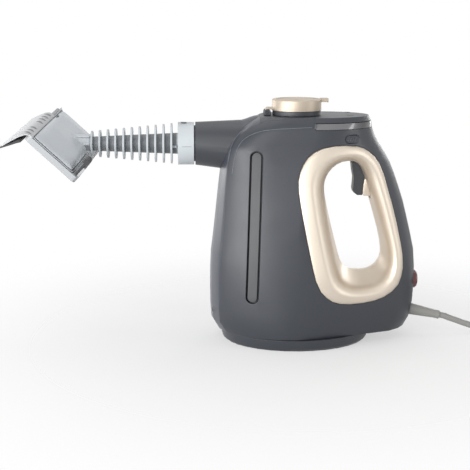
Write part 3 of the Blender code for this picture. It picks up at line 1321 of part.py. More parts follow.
def hinge_circle(radius, count=SMALL_SEGMENTS):
    return [
        (
            HINGE_PLACE + radius * math.cos(FULL_TURN * i / count),
            HINGE_HEIGHT + radius * math.sin(FULL_TURN * i / count),
        )
        for i in range(count)
    ]


def make_hinge():
    deck = BODY_HEIGHT + GAP
    base = box_shape(
        (HINGE_PLACE - HINGE_HALF_LENGTH, -HINGE_EAR_OUTER, deck),
        (HINGE_PLACE + HINGE_HALF_LENGTH, HINGE_EAR_OUTER, deck + HINGE_BASE_THICKNESS),
    )
    bracket = place("hinge_bracket", base, "slate_dark")
    half = SMALL_SEGMENTS
    dome = [
        (
            HINGE_PLACE + HINGE_EAR_RADIUS * HINGE_EAR_SPREAD_SHARE * math.cos(math.pi * i / half),
            HINGE_HEIGHT + HINGE_EAR_RADIUS * math.sin(math.pi * i / half),
        )
        for i in range(half + 1)
    ]
    foot = [(HINGE_PLACE - HINGE_HALF_LENGTH, deck), (HINGE_PLACE + HINGE_HALF_LENGTH, deck)]
    for i, side in enumerate((-1, 1)):
        low_y, high_y = sorted((side * HINGE_EAR_INNER, side * HINGE_EAR_OUTER))
        combine(bracket, place(f"form_ear_{i}", prism_shape(dome + foot, low_y, high_y, "Y")), "UNION")
    hole = prism_shape(hinge_circle(HINGE_PIN_RADIUS + PIN_GAP), -OVERRUN, OVERRUN, "Y")
    combine(bracket, place("form_hinge_hole", hole))
    pin = prism_shape(hinge_circle(HINGE_PIN_RADIUS), -HINGE_EAR_OUTER, HINGE_EAR_OUTER, "Y")
    place("lid_hinge_pin", pin, "steel")


def make_lid():
    base = COLLAR_TOP + GAP
    inner = LID_RADIUS - LID_WALL
    ceiling = LID_TOP - LID_WALL
    profile = [
        (0, ceiling), (inner, ceiling), (inner, base), (LID_RADIUS, base), (LID_RADIUS, LID_TOP - LID_EDGE),
        (LID_RADIUS - LID_EDGE, LID_TOP), (LID_RADIUS - LID_RIM, LID_TOP),
        (LID_RADIUS - LID_RIM - LID_DISH, LID_TOP - LID_DISH),
        (LID_BUMP_RADIUS, LID_TOP - LID_DISH * LID_BUMP_FOOT_SHARE),
        (LID_BUMP_RADIUS / 2, LID_TOP), (0, LID_TOP),
    ]
    pivot = (HINGE_PLACE, 0, HINGE_HEIGHT)
    lid = place("lid", turned_shape(profile, NOZZLE_SEGMENTS), "gold", pivot)
    tab = box_shape(
        (LID_RADIUS - LID_WALL / 2, -TAB_HALF_WIDTH, LID_TOP + TAB_RISE - TAB_THICKNESS),
        (LID_RADIUS + TAB_REACH, TAB_HALF_WIDTH, LID_TOP + TAB_RISE),
    )
    combine(lid, place("form_lid_tab", tab), "UNION")
    eye = HINGE_EYE_RADIUS
    arm = [(HINGE_PLACE + eye * x, HINGE_HEIGHT + eye * z) for x, z in LID_ARM_EYE_SHARES]
    arm.append((HINGE_PLACE + eye * LID_ARM_INNER_SHARE, HINGE_ARM_TOP - eye))
    arm += [(-LID_RADIUS + LID_WALL / 2, HINGE_ARM_TOP - eye), (-LID_RADIUS + LID_WALL / 2, HINGE_ARM_TOP)]
    arm += [(HINGE_PLACE + eye * x, HINGE_ARM_TOP + eye * z) for x, z in LID_ARM_BEND_SHARES]
    reach = HINGE_EAR_INNER - GAP
    combine(lid, place("form_lid_arm", prism_shape(arm, -reach, reach, "Y")), "UNION")
    hole = prism_shape(hinge_circle(HINGE_PIN_RADIUS + PIN_GAP), -OVERRUN, OVERRUN, "Y")
    combine(lid, place("form_lid_pin_hole", hole))


# Trigger and lock
def make_trigger():
    outline = [(x * REAR_REACH, z * BODY_HEIGHT) for x, z in TRIGGER_OUTLINE_SHARES]
    pivot_x, pivot_z = TRIGGER_PIVOT
    pivot = (pivot_x, 0, pivot_z)
    trigger = place(
        "trigger", prism_shape(outline, -TRIGGER_HALF_WIDTH, TRIGGER_HALF_WIDTH, "Y"), "slate_dark", pivot
    )
    reach = TRIGGER_HALF_WIDTH + OVERRUN
    hole = turned_shape(disc_profile(TRIGGER_PIN_RADIUS + PIN_GAP, -reach, reach), SMALL_SEGMENTS, pivot, "Y")
    combine(trigger, place("form_trigger_pin_hole", hole))
    half = half_width(pivot_x, pivot_z) - TRIGGER_PIN_MARGIN
    pin = disc_profile(TRIGGER_PIN_RADIUS, -half, half)
    place("trigger_pin", turned_shape(pin, SMALL_SEGMENTS, pivot, "Y"), "steel")
    points = []
    start = TRIGGER_HALF_WIDTH + SPRING_WIRE_RADIUS + GAP
    for i in range(SPRING_TURNS * SPRING_POINTS + 1):
        angle = FULL_TURN * i / SPRING_POINTS
        points.append(
            (
                pivot_x + SPRING_RADIUS * math.cos(angle),
                start + SPRING_PITCH * i / SPRING_POINTS,
                pivot_z + SPRING_RADIUS * math.sin(angle),
            )
        )
    tube("trigger_spring", points, SPRING_WIRE_RADIUS, "steel", resolution=0)


def make_lock():
    reach = half_width(LOCK_PLACE, LOCK_HEIGHT)
    bar = lock_shape(0, reach + LOCK_PROUD, reach - LOCK_PROUD)
    place("lock_bar", bar, "slate_dark", (LOCK_PLACE, 0, LOCK_HEIGHT))


# Rear and electrical parts
def make_lens():
    centre = lens_centre()
    inner = LENS_RADIUS - LENS_EDGE_INSET
    profile = [(0, -LENS_DEPTH), (LENS_RADIUS, -LENS_DEPTH), (LENS_RADIUS, LENS_EDGE)]
    profile += [(inner * across, LENS_PROUD * out) for across, out in LENS_DOME_SHARES]
    place("indicator_lens", turned_shape(profile, ROUND_SEGMENTS, centre, "X"), "lens")


def make_electrics():
    floor = SHELL_BASE + SHELL_WALL + GAP
    half = BLOCK_LENGTH / 2
    block = box_shape(
        (BLOCK_PLACE - half, -BLOCK_HALF_WIDTH, floor),
        (BLOCK_PLACE + half, BLOCK_HALF_WIDTH, floor + BLOCK_HEIGHT),
    )
    place("terminal_block", block, "white")
    half = CLAMP_LENGTH / 2
    bar = box_shape(
        (CLAMP_PLACE - half, -CLAMP_HALF_WIDTH, floor),
        (CLAMP_PLACE + half, CLAMP_HALF_WIDTH, floor + CLAMP_HEIGHT),
    )
    clamp = place("cord_clamp", bar, "black")
    for i, side in enumerate((-1, 1)):
        spot = (CLAMP_PLACE, side * CLAMP_HALF_WIDTH * CLAMP_SCREW_PLACE_SHARE, 0)
        top = floor + CLAMP_HEIGHT
        hole = disc_profile(CLAMP_SCREW_RADIUS + PIN_GAP, floor + GAP, top + OVERRUN)
        combine(clamp, place(f"form_clamp_hole_{i}", turned_shape(hole, SMALL_SEGMENTS, spot)))
        profile = [
            (0, floor + GAP * 2), (CLAMP_SCREW_RADIUS, floor + GAP * 2), (CLAMP_SCREW_RADIUS, top + GAP),
            (CLAMP_SCREW_HEAD_RADIUS, top + GAP),
            (CLAMP_SCREW_HEAD_RADIUS, top + GAP + CLAMP_SCREW_HEAD_HEIGHT),
            (0, top + GAP + CLAMP_SCREW_HEAD_HEIGHT),
        ]
        place(f"clamp_screw_{i + 1}", turned_shape(profile, SMALL_SEGMENTS, spot), "steel")


# Cord
def relief_point(distance):
    run = Vector((1, 0, RELIEF_SLOPE)).normalized()
    return Vector((RELIEF_ENTRY[0], 0, RELIEF_ENTRY[1])) + run * distance


def make_relief():
    end = RELIEF_LENGTH
    ring_start = end - RELIEF_RING_LENGTH
    profile = [
        (0, -RELIEF_INSIDE), (RELIEF_FLANGE_RADIUS, -RELIEF_INSIDE),
        (RELIEF_FLANGE_RADIUS, -RELIEF_INSIDE + RELIEF_FLANGE_THICKNESS),
        (RELIEF_RADIUS, -RELIEF_INSIDE + RELIEF_FLANGE_THICKNESS),
        (RELIEF_RADIUS, RELIEF_FLANGE_THICKNESS * 2),
        (RELIEF_TIP_RADIUS, ring_start), (RELIEF_RING_RADIUS, ring_start + RELIEF_RING_STEP),
        (RELIEF_RING_RADIUS, end - RELIEF_RING_STEP), (RELIEF_TIP_RADIUS - RELIEF_RING_STEP, end), (0, end),
    ]
    place("strain_relief", relief_shape(profile), "cord")


def coil_points():
    """The wound turns: in on the floor, up a layer in half a turn, and out again on top."""
    pitch = 2 * CORD_RADIUS + COIL_TURN_GAP
    low = CORD_RADIUS + COIL_FLOOR_GAP
    inner = COIL_OUTER_RADIUS - COIL_TURNS_IN * pitch
    climb = COIL_POINTS // 2
    steps_in = COIL_TURNS_IN * COIL_POINTS
    steps_out = round(COIL_TURNS_IN * COIL_TURNS_OUT_SHARE * COIL_POINTS)
    total = steps_in + climb + steps_out
    points = []
    for i in range(total + 1):
        angle = -math.pi / 2 + FULL_TURN * i / COIL_POINTS
        if i <= steps_in + climb / 2:
            radius = COIL_OUTER_RADIUS - pitch * i / COIL_POINTS
        else:
            radius = inner + pitch * (i - steps_in - climb) / COIL_POINTS
        height = low + pitch * max(0, min(1, (i - steps_in) / climb))
        points.append(
            Vector(
                (
                    COIL_CENTRE_PLACE + radius * math.cos(angle),
                    COIL_OUTER_RADIUS + radius * math.sin(angle),
                    height,
                )
            )
        )
    return points


def self_gap(points, diameter):
    """The least gap between stretches of one tube that aren't neighbours along it."""
    least = math.inf
    apart = COIL_POINTS // 3
    for i, point in enumerate(points):
        for other in range(i + apart, len(points) - 1):
            a, b = points[other], points[other + 1]
            run = b - a
            t = max(0, min(1, (point - a).dot(run) / run.length_squared))
            least = min(least, (point - a - run * t).length - diameter)
    return least


def make_cord():
    start = relief_point(RELIEF_LENGTH + GAP)
    lead_in = relief_point(RELIEF_LENGTH + GAP + CORD_RADIUS * 2)
    coil = coil_points()
    straight = CORD_RADIUS * 2
    coil_start = Vector((coil[0].x - straight, coil[0].y, coil[0].z))
    lead_end = coil_start - Vector((CORD_END_GAP, 0, 0))
    route = [start, lead_in] + [Vector(point) for point in LEAD_ROUTE] + [lead_end]
    lead = smooth_open(route, LEAD_POINTS)
    tube("cord_lead", lead, CORD_RADIUS, "cord")
    run = (coil[-1] - coil[-2]).normalized()
    run = Vector((run.x, run.y, 0)).normalized()
    coil_end = coil[-1] + run * straight
    turns = [coil_start] + coil + [coil_end]
    tube("cord_coil", turns, CORD_RADIUS, "cord", resolution=1)
    gap = self_gap(turns, 2 * CORD_RADIUS)
    print(f"cord_coil least gap to itself {gap * 1000:.2f} mm, wanted over {COIL_LEAST_GAP * 1000:.2f}")
    entry_height = PLUG_BODY_HEIGHT / 2
    turned = Matrix.Rotation(TAIL_TURN, 3, "Z") @ run
    tail_start = coil_end + run * CORD_END_GAP
    tail_end = tail_start + (run + turned) * (TAIL_LENGTH / 2)
    tail_end.z = entry_height
    knots = [tail_start, tail_start + run * straight, tail_end - turned * straight, tail_end]
    tail = smooth_open(knots, TAIL_POINTS)
    tube("cord_tail", tail, CORD_RADIUS, "cord")
    lengths = [
        sum((b - a).length for a, b in zip(line, line[1:])) for line in (lead, turns, tail)
    ]
    print(f"cord length {sum(lengths):.3f} m, of it coiled {lengths[1]:.3f}")
    make_mains_plug(tail_end + turned * CORD_END_GAP, turned)


def make_mains_plug(entry, run):
    """A three-pin plug on its back, its cord entry at the coil's upper layer."""
    angle = math.atan2(run.y, run.x) - math.pi / 2
    frame = Matrix.Translation((entry.x, entry.y, 0)) @ Matrix.Rotation(angle, 4, "Z")
    start = PLUG_NECK_LENGTH
    outline = [
        (x * PLUG_BODY_HALF_WIDTH, start + y * PLUG_BODY_LENGTH) for x, y in PLUG_CORNER_SHARES
    ]
    body = prism_shape(outline, COIL_FLOOR_GAP, PLUG_BODY_HEIGHT, "Z")
    bmesh.ops.transform(body, matrix=frame, verts=body.verts)
    plug = place("mains_plug", body, "cord")
    collar = disc_profile(PLUG_NECK_RADIUS, 0, start + PLUG_NECK_RADIUS)
    neck = turned_shape(collar, SMALL_SEGMENTS, (0, 0, entry.z), "Y")
    bmesh.ops.transform(neck, matrix=frame, verts=neck.verts)
    combine(plug, place("form_plug_neck", neck), "UNION")
    middle = start + PLUG_BODY_LENGTH / 2
    for i, (x, y, long) in enumerate(PLUG_PIN_SHARES):
        half_x, half_y = PLUG_PIN_HALF_LENGTH, PLUG_PIN_HALF_WIDTH
        if y > 0:
            half_x, half_y = half_y, half_x
        spot_x, spot_y = x * PLUG_PIN_SPREAD, middle + y * PLUG_PIN_SPREAD
        pin = box_shape(
            (spot_x - half_x, spot_y - half_y, PLUG_BODY_HEIGHT - PLUG_PIN_HALF_WIDTH),
            (spot_x + half_x, spot_y + half_y, PLUG_BODY_HEIGHT + PLUG_PIN_LENGTH * long),
        )
        bmesh.ops.transform(pin, matrix=frame, verts=pin.verts)
        combine(plug, place(f"form_plug_pin_{i}", pin), "UNION")


# Attachment
def make_attachment():
    axis = (0, 0, NOZZLE_AXIS_HEIGHT)
    core_start = ATTACH_FACE_PLACE

    def core(x):
        t = (x - core_start) / (CORE_TIP_PLACE - core_start)
        return CORE_BACK_RADIUS + (CORE_TIP_RADIUS - CORE_BACK_RADIUS) * t

    profile = [
        (ATTACH_BORE_RADIUS, -ATTACH_FACE_PLACE + ATTACH_FACE_THICKNESS),
        (SPIGOT_RADIUS + SPIGOT_CLEARANCE, -ATTACH_FACE_PLACE + ATTACH_FACE_THICKNESS),
        (SPIGOT_RADIUS + SPIGOT_CLEARANCE, -ATTACH_BACK_PLACE), (ATTACH_RADIUS, -ATTACH_BACK_PLACE),
        (ATTACH_RADIUS, -ATTACH_FACE_PLACE), (core(core_start), -core_start),
    ]
    for i in range(FIN_COUNT):
        x = FIN_FIRST_PLACE + FIN_PITCH * i
        radius = FIN_BACK_RADIUS + (FIN_TIP_RADIUS - FIN_BACK_RADIUS) * i / (FIN_COUNT - 1)
        low, high = x - FIN_THICKNESS / 2, x + FIN_THICKNESS / 2
        profile += [(core(low), -low), (radius, -low), (radius, -high), (core(high), -high)]
    profile += [
        (core(CORE_TIP_PLACE), -CORE_TIP_PLACE), (ATTACH_TIP_RADIUS, -CORE_TIP_PLACE),
        (ATTACH_TIP_RADIUS, -ATTACH_TIP_PLACE), (ATTACH_BORE_RADIUS, -ATTACH_TIP_PLACE),
    ]
    pivot = (-ATTACH_BACK_PLACE, 0, NOZZLE_AXIS_HEIGHT)
    place("attachment_neck", turned_shape(profile, ATTACH_SEGMENTS, axis, "X"), "light_grey", pivot)


# Window head
def head_frame():
    """Matrix from (long, short, normal) in the head's own frame to the world."""
    short = Vector((math.cos(HEAD_SLOPE), 0, -math.sin(HEAD_SLOPE)))
    across = Vector((0, 1, 0))
    rise = short.cross(across)
    long = across * math.cos(HEAD_ROLL) + rise * math.sin(HEAD_ROLL)
    normal = short.cross(long)
    frame = Matrix((long, short, normal)).transposed().to_4x4()
    return Matrix.Translation(HEAD_CENTRE) @ frame


def head_pivot():
    return (-SOCKET_BACK_PLACE, 0, NOZZLE_AXIS_HEIGHT)


def in_head(shape):
    bmesh.ops.transform(shape, matrix=head_frame(), verts=shape.verts)
    return shape


def rounded_rectangle(half_long, half_short, corner, shift=0.0, steps=3):
    made = []
    for quarter, (a, b) in enumerate(((1, 1), (-1, 1), (-1, -1), (1, -1))):
        for i in range(steps + 1):
            angle = math.pi / 2 * (quarter + i / steps)
            made.append(
                (
                    a * (half_long - corner) + corner * math.cos(angle),
                    b * (half_short - corner) + corner * math.sin(angle) + shift,
                )
            )
    return made


def tray_points(shares):
    """Points in (short, normal), from shares of the tray's half width."""
    return [(a * TRAY_HALF_WIDTH, b * TRAY_HALF_WIDTH) for a, b in shares]


def head_bar(outline, low, high):
    """An outline in (short, normal) swept along the head's long direction."""
    return in_head(prism_shape(outline, low, high, "X"))


def make_tray():
    outline = rounded_rectangle(TRAY_HALF_LENGTH, TRAY_HALF_WIDTH, TRAY_CORNER)
    body = prism_shape(outline, 0, TRAY_THICKNESS, "Z")
    tray = place("head_tray", in_head(body), "white", head_pivot())
    inner_length, inner_width = TRAY_HALF_LENGTH - TRAY_RIM, TRAY_HALF_WIDTH - TRAY_RIM
    outline = rounded_rectangle(inner_length, inner_width, TRAY_CORNER - TRAY_RIM / 2)
    recess = prism_shape(outline, -OVERRUN, TRAY_RECESS_DEPTH, "Z")
    combine(tray, place("form_tray_recess", in_head(recess)))
    corner = TRAY_STEAM_HALF_WIDTH * TRAY_STEAM_CORNER_SHARE
    outline = rounded_rectangle(TRAY_STEAM_HALF_LENGTH, TRAY_STEAM_HALF_WIDTH, corner)
    mouth = prism_shape(outline, -OVERRUN, OVERRUN, "Z")
    combine(tray, place("form_tray_mouth", in_head(mouth)))
    fence_in = WIPER_SIDE_PLACE + WIPER_THICKNESS / 2 + GAP
    outline = [
        (fence_in, TRAY_THICKNESS / 2), (fence_in + TRAY_FENCE_THICKNESS, TRAY_THICKNESS / 2),
        (fence_in + TRAY_FENCE_THICKNESS, TRAY_FENCE_HEIGHT), (fence_in, TRAY_FENCE_HEIGHT),
    ]
    for i, side in enumerate((-1, 1)):
        low, high = sorted((side * WIPER_INNER_PLACE, side * WIPER_OUTER_PLACE))
        combine(tray, place(f"form_fence_{i}", head_bar(outline, low, high)), "UNION")


def make_casing():
    rings = []
    base = TRAY_THICKNESS - CASING_TRIM
    for height, long, short, shift in CASING_ROW_SHARES:
        half_long, half_short = long * TRAY_HALF_LENGTH, short * TRAY_HALF_WIDTH
        corner = CASING_CORNER_SHARE * half_short
        level = base + (CASING_HEIGHT - base) * height
        outline = rounded_rectangle(half_long, half_short, corner, shift * TRAY_HALF_WIDTH)
        rings.append([(x, y, level) for x, y in outline])
    casing = place("head_casing", in_head(loft_shape(rings)), "light_grey", head_pivot())
    axis = (0, 0, NOZZLE_AXIS_HEIGHT)
    socket = disc_profile(SOCKET_RADIUS, -SOCKET_FRONT_PLACE, -SOCKET_BACK_PLACE)
    combine(casing, place("form_socket", turned_shape(socket, ROUND_SEGMENTS, axis, "X")), "UNION")
    for i, side in enumerate((-1, 1)):
        low, high = sorted((side * WIPER_INNER_PLACE, side * (WIPER_OUTER_PLACE - GAP * 2)))
        wall = head_bar(tray_points(WIPER_WALL_SHARES), low, high)
        combine(casing, place(f"form_wiper_wall_{i}", wall), "UNION")
    outline = rounded_rectangle(TRAY_HALF_LENGTH + OVERRUN, TRAY_HALF_WIDTH + OVERRUN, TRAY_CORNER)
    seat = prism_shape(outline, -OVERRUN, TRAY_THICKNESS + GAP, "Z")
    combine(casing, place("form_casing_seat", in_head(seat)))
    step, passage = -ATTACH_TIP_PLACE - GAP, ATTACH_BORE_RADIUS * PASSAGE_SHARE
    front, back = -ATTACH_TIP_PLACE - OVERRUN, -SOCKET_BACK_PLACE + OVERRUN
    bore = [
        (0, front), (passage, front), (passage, step), (SOCKET_BORE_RADIUS, step), (SOCKET_BORE_RADIUS, back),
        (0, back),
    ]
    combine(casing, place("form_socket_bore", turned_shape(bore, ATTACH_SEGMENTS, axis, "X")))


def make_squeegee():
    half = SQUEEGEE_HALF_LENGTH
    section = tray_points(HOLDER_SHARES)
    holder = place("squeegee_holder", head_bar(section, -half, half), "white", head_pivot())
    low_level, high_level = (share * TRAY_HALF_WIDTH for share in HOLDER_SLOT_LEVEL_SHARES)
    inner = HOLDER_SLOT_INNER_SHARE * TRAY_HALF_WIDTH
    for side in (-1, 1):
        for i in range(HOLDER_SLOT_COUNT):
            middle = side * half * (HOLDER_SLOT_START_SHARE + HOLDER_SLOT_PITCH_SHARE * i)
            outline = [
                (inner - OVERRUN, low_level), (inner, low_level),
                (inner, high_level), (inner - OVERRUN, high_level),
            ]
            slot = head_bar(outline, middle - HOLDER_SLOT_HALF_WIDTH, middle + HOLDER_SLOT_HALF_WIDTH)
            combine(holder, place(f"form_holder_slot_{side}_{i}", slot))
    bead, tip = (Vector(spot) for spot in tray_points((BLADE_BEAD_SHARES, BLADE_TIP_SHARES)))
    run = (tip - bead).normalized()
    side = Vector((-run.y, run.x))
    outline = []
    count = SMALL_SEGMENTS
    opening = math.asin(BLADE_ROOT_THICKNESS / 2 / BLADE_BEAD_RADIUS)
    for i in range(count + 1):
        angle = opening + (FULL_TURN - 2 * opening) * i / count
        outline.append(bead + (run * math.cos(angle) + side * math.sin(angle)) * BLADE_BEAD_RADIUS)
    outline += [tip - side * BLADE_TIP_THICKNESS / 2, tip + side * BLADE_TIP_THICKNESS / 2]
    blade = head_bar([tuple(spot) for spot in outline], -half, half)
    place("squeegee_blade", blade, "rubber", head_pivot())


def make_wipers():
    half = WIPER_THICKNESS / 2
    outline = [(WIPER_SIDE_PLACE + half, WIPER_BASE_HEIGHT)]
    opening = math.asin(half / WIPER_BEAD_RADIUS)
    for i in range(SMALL_SEGMENTS + 1):
        angle = -math.pi / 2 + opening + (FULL_TURN - 2 * opening) * i / SMALL_SEGMENTS
        outline.append(
            (
                WIPER_SIDE_PLACE + WIPER_BEAD_RADIUS * math.cos(angle),
                WIPER_BEAD_HEIGHT + WIPER_BEAD_RADIUS * math.sin(angle),
            )
        )
    outline.append((WIPER_SIDE_PLACE - half, WIPER_BASE_HEIGHT))
    for name, side in (("wiper_strip_near", -1), ("wiper_strip_far", 1)):
        low, high = sorted((side * WIPER_INNER_PLACE, side * WIPER_OUTER_PLACE))
        place(name, head_bar(outline, low, high), "rubber", head_pivot())


def main():
    clear_scene()
    forms = make_forms()
    make_shells(forms)
    make_inlays()
    make_spine_and_deck(forms)
    make_front_screws()
    make_foot()
    make_band()
    make_handle_trims()
    make_nozzle(forms)
    make_steam_path()
    make_valve_rod()
    make_boiler()
    make_boiler_base()
    make_filler()
    make_pressure_plug()
    make_hinge()
    make_lid()
    make_trigger()
    make_lock()
    make_lens()
    make_electrics()
    make_relief()
    make_cord()
    make_attachment()
    make_tray()
    make_casing()
    make_squeegee()
    make_wipers()


main()
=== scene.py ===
import json
import math

import bmesh
import bpy
from mathutils import Matrix, Vector


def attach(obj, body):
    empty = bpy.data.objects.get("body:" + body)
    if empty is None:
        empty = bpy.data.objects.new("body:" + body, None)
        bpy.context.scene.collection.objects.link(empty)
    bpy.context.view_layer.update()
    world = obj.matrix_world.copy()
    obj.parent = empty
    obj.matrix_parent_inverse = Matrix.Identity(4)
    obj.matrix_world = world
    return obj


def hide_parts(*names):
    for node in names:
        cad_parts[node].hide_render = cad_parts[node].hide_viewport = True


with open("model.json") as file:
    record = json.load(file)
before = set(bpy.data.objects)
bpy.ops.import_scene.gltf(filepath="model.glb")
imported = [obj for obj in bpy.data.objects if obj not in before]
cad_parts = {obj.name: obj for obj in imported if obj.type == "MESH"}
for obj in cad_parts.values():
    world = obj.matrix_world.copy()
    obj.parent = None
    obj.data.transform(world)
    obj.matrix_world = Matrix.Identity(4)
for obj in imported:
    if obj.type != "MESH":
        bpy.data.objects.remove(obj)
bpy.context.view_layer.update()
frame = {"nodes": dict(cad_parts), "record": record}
NODES = frame["nodes"]
FULL_TURN = 2 * math.pi
MM = 0.001
SIDES = (("near", -1), ("far", 1))
# Height of the nozzle's and the neck's axis, in millimetres
AXIS = 196.8


def link(thing):
    bpy.context.scene.collection.objects.link(thing)


def aimed(start, end):
    """The turn that points a camera or a lamp from start to end."""
    return (Vector(end) - Vector(start)).to_track_quat("-Z", "Y").to_euler()


# Camera at the photograph's viewing angle
EYE = (-0.0988, -1.0993, 0.3300)
AIM = (-0.0604, 0.0, 0.1045)
SENSOR_WIDTH = 36
FOCAL_LENGTH = 86.0


def make_camera():
    data = bpy.data.cameras.new("camera")
    data.sensor_width = SENSOR_WIDTH
    data.lens = FOCAL_LENGTH
    camera = bpy.data.objects.new("camera", data)
    camera.location = EYE
    camera.rotation_euler = aimed(EYE, AIM)
    link(camera)
    bpy.context.scene.camera = camera
    bpy.context.scene.view_settings.view_transform = "Standard"


# Sockets of a colour mix node
MIX_SHARE = 0
MIX_FIRST = 6
MIX_SECOND = 7
MIX_RESULT = 2


class Graph:
    """A small wrapper that adds nodes to a material's or the world's node tree."""

    def __init__(self, tree, empty=True):
        self.tree = tree
        self.nodes = tree.nodes
        if empty:
            self.nodes.clear()

    def put(self, socket, value):
        """Links an input to another node's output, or sets its value."""
        if isinstance(value, bpy.types.NodeSocket):
            self.tree.links.new(value, socket)
        else:
            socket.default_value = value

    def add(self, kind, inputs=None, **settings):
        node = self.nodes.new(kind)
        for key, value in settings.items():
            setattr(node, key, value)
        for key, value in (inputs or {}).items():
            self.put(node.inputs[key], value)
        return node

    def math(self, operation, a, b=0.0, clamp=False):
        return self.add("ShaderNodeMath", {0: a, 1: b}, operation=operation, use_clamp=clamp).outputs[0]

    def span(self, value, low, high, to_low, to_high, **settings):
        inputs = {"Value": value, "From Min": low, "From Max": high, "To Min": to_low, "To Max": to_high}
        return self.add("ShaderNodeMapRange", inputs, **settings).outputs["Result"]

    def noise(self, where, scale, detail=2.0, roughness=0.5):
        inputs = {"Vector": where, "Scale": scale, "Detail": detail, "Roughness": roughness}
        return self.add("ShaderNodeTexNoise", inputs).outputs["Fac"]

    def mix(self, share, a, b):
        inputs = {MIX_SHARE: share, MIX_FIRST: a, MIX_SECOND: b}
        return self.add("ShaderNodeMix", inputs, data_type="RGBA").outputs[MIX_RESULT]

    def place(self):
        return self.add("ShaderNodeTexCoord").outputs["Object"]


# What all surfaces have in common: their noises, where edges rub, and how much each noise counts
CLOUD_NOISE = {"scale": 22.0, "detail": 4.0, "roughness": 0.6}
FINE_NOISE = {"detail": 2.0, "roughness": 0.55}
COARSE_NOISE = {"detail": 3.0, "roughness": 0.6}
COARSER = 5
FINE_RANGE = (0.35, 0.75)
COARSE_RANGE = (0.3, 0.7)
ROUGH_RANGE = (0.5, 1.1)
EDGE_RANGE = (0.985, 0.86)
EDGE_SAMPLES = 4
SPECK_SHARE = 0.5
SPECK_TINT = 1.5
LEAST_RUBBED = 0.4
RUBBED_TINT = 1.7
COARSE_IN_ROUGHNESS = 0.6
COARSE_IN_LIFT = 0.5
LIFT_HEIGHT = 0.00012


def tinted(colour, factor):
    return tuple(min(1.0, max(0.0, c * factor)) for c in colour[:3]) + (1.0,)


def surface(
    name, colour, rough, grain=1500.0, bump=0.10, mottle=0.05, wear=0.12, rough_span=0.05, stretch=(1, 1, 1),
    edge=0.0006, metallic=0.0, speck=0.0, **shader_values,
):
    """Moulded or turned stuff: fine grain, cloudy colour, edges rubbed lighter and slightly rounded."""
    made = bpy.data.materials.new(name)
    made.use_nodes = True
    g = Graph(made.node_tree)
    place = g.place()
    stretched = g.add("ShaderNodeMapping", {"Vector": place, "Scale": stretch}).outputs["Vector"]
    cloud = g.noise(place, **CLOUD_NOISE)
    fine = g.noise(stretched, grain, **FINE_NOISE)
    coarse = g.noise(stretched, grain / COARSER, **COARSE_NOISE)
    base = g.mix(cloud, tinted(colour, 1 - mottle), tinted(colour, 1 + mottle))
    specks = g.span(fine, *FINE_RANGE, 0.0, SPECK_SHARE + speck)
    base = g.mix(specks, base, tinted(colour, 1 + mottle * SPECK_TINT))
    round_edge = g.add("ShaderNodeBevel", {"Radius": edge}, samples=EDGE_SAMPLES).outputs["Normal"]
    flat = g.add("ShaderNodeNewGeometry").outputs["Normal"]
    both = {0: round_edge, 1: flat}
    facing = g.add("ShaderNodeVectorMath", both, operation="DOT_PRODUCT").outputs["Value"]
    worn = g.span(facing, *EDGE_RANGE, 0.0, 1.0)
    patches = g.span(coarse, *COARSE_RANGE, LEAST_RUBBED, 1.0)
    rubbed = g.math("MULTIPLY", worn, patches)
    base = g.mix(g.math("MULTIPLY", rubbed, wear), base, tinted(colour, RUBBED_TINT))
    uneven = g.math("ADD", cloud, g.math("MULTIPLY", coarse, COARSE_IN_ROUGHNESS))
    roughness = g.span(uneven, *ROUGH_RANGE, rough - rough_span, rough + rough_span)
    lift = g.math("ADD", fine, g.math("MULTIPLY", coarse, COARSE_IN_LIFT))
    raised = {"Height": lift, "Strength": bump, "Distance": LIFT_HEIGHT, "Normal": round_edge}
    normal = g.add("ShaderNodeBump", raised).outputs["Normal"]
    inputs = {"Base Color": base, "Roughness": roughness, "Normal": normal, "Metallic": metallic}
    shader = g.add("ShaderNodeBsdfPrincipled", {**inputs, **shader_values})
    g.add("ShaderNodeOutputMaterial", {"Surface": shader.outputs[0]})
    return made


def recoloured(made, colour_of):
    """Puts another colour over a material's own, from its place on the object."""
    g = Graph(made.node_tree, empty=False)
    shader = next(n for n in g.nodes if n.type == "BSDF_PRINCIPLED")
    own = shader.inputs["Base Color"].links[0].from_socket
    g.put(shader.inputs["Base Color"], colour_of(g, own, g.place()))
    return made


# The neck's darker core, partly its own tone and partly painted shade between the fins, in metres: where it
# starts and ends, and its radius at both
CORE_TIP = -0.2030
CORE_ROOT = -0.1170
CORE_TIP_RADIUS = 0.0069
CORE_ROOT_RADIUS = 0.0104
CORE_MARGIN = 0.0004
CORE_SHOWN = (-0.2034, -0.1176)
CORE_NOISE = {"scale": 60.0, "detail": 3.0}
CORE_DARK_AND_SHADE = (0.19, 0.20, 0.215, 1)
CORE_LIGHT_AND_SHADE = (0.25, 0.265, 0.28, 1)


def neck_colour_and_shade(g, light, place):
    """Light grey fins with a darker core between them: partly the core's own tone, partly painted shade."""
    apart = g.add("ShaderNodeSeparateXYZ", {0: place}).outputs
    rise = g.math("SUBTRACT", apart["Z"], AXIS * MM)
    rise_square = g.math("MULTIPLY", rise, rise)
    side_square = g.math("MULTIPLY", apart["Y"], apart["Y"])
    radius = g.math("SQRT", g.math("ADD", rise_square, side_square))
    core = g.span(apart["X"], CORE_TIP, CORE_ROOT, CORE_TIP_RADIUS, CORE_ROOT_RADIUS)
    inside = g.math("LESS_THAN", g.math("SUBTRACT", radius, core), CORE_MARGIN)
    past_tip = g.math("GREATER_THAN", apart["X"], CORE_SHOWN[0])
    before_root = g.math("LESS_THAN", apart["X"], CORE_SHOWN[1])
    along = g.math("MULTIPLY", before_root, past_tip)
    # The core's own darker tone together with painted shade between the fins
    dark = g.mix(g.noise(place, **CORE_NOISE), CORE_DARK_AND_SHADE, CORE_LIGHT_AND_SHADE)
    return g.mix(g.math("MULTIPLY", inside, along), light, dark)
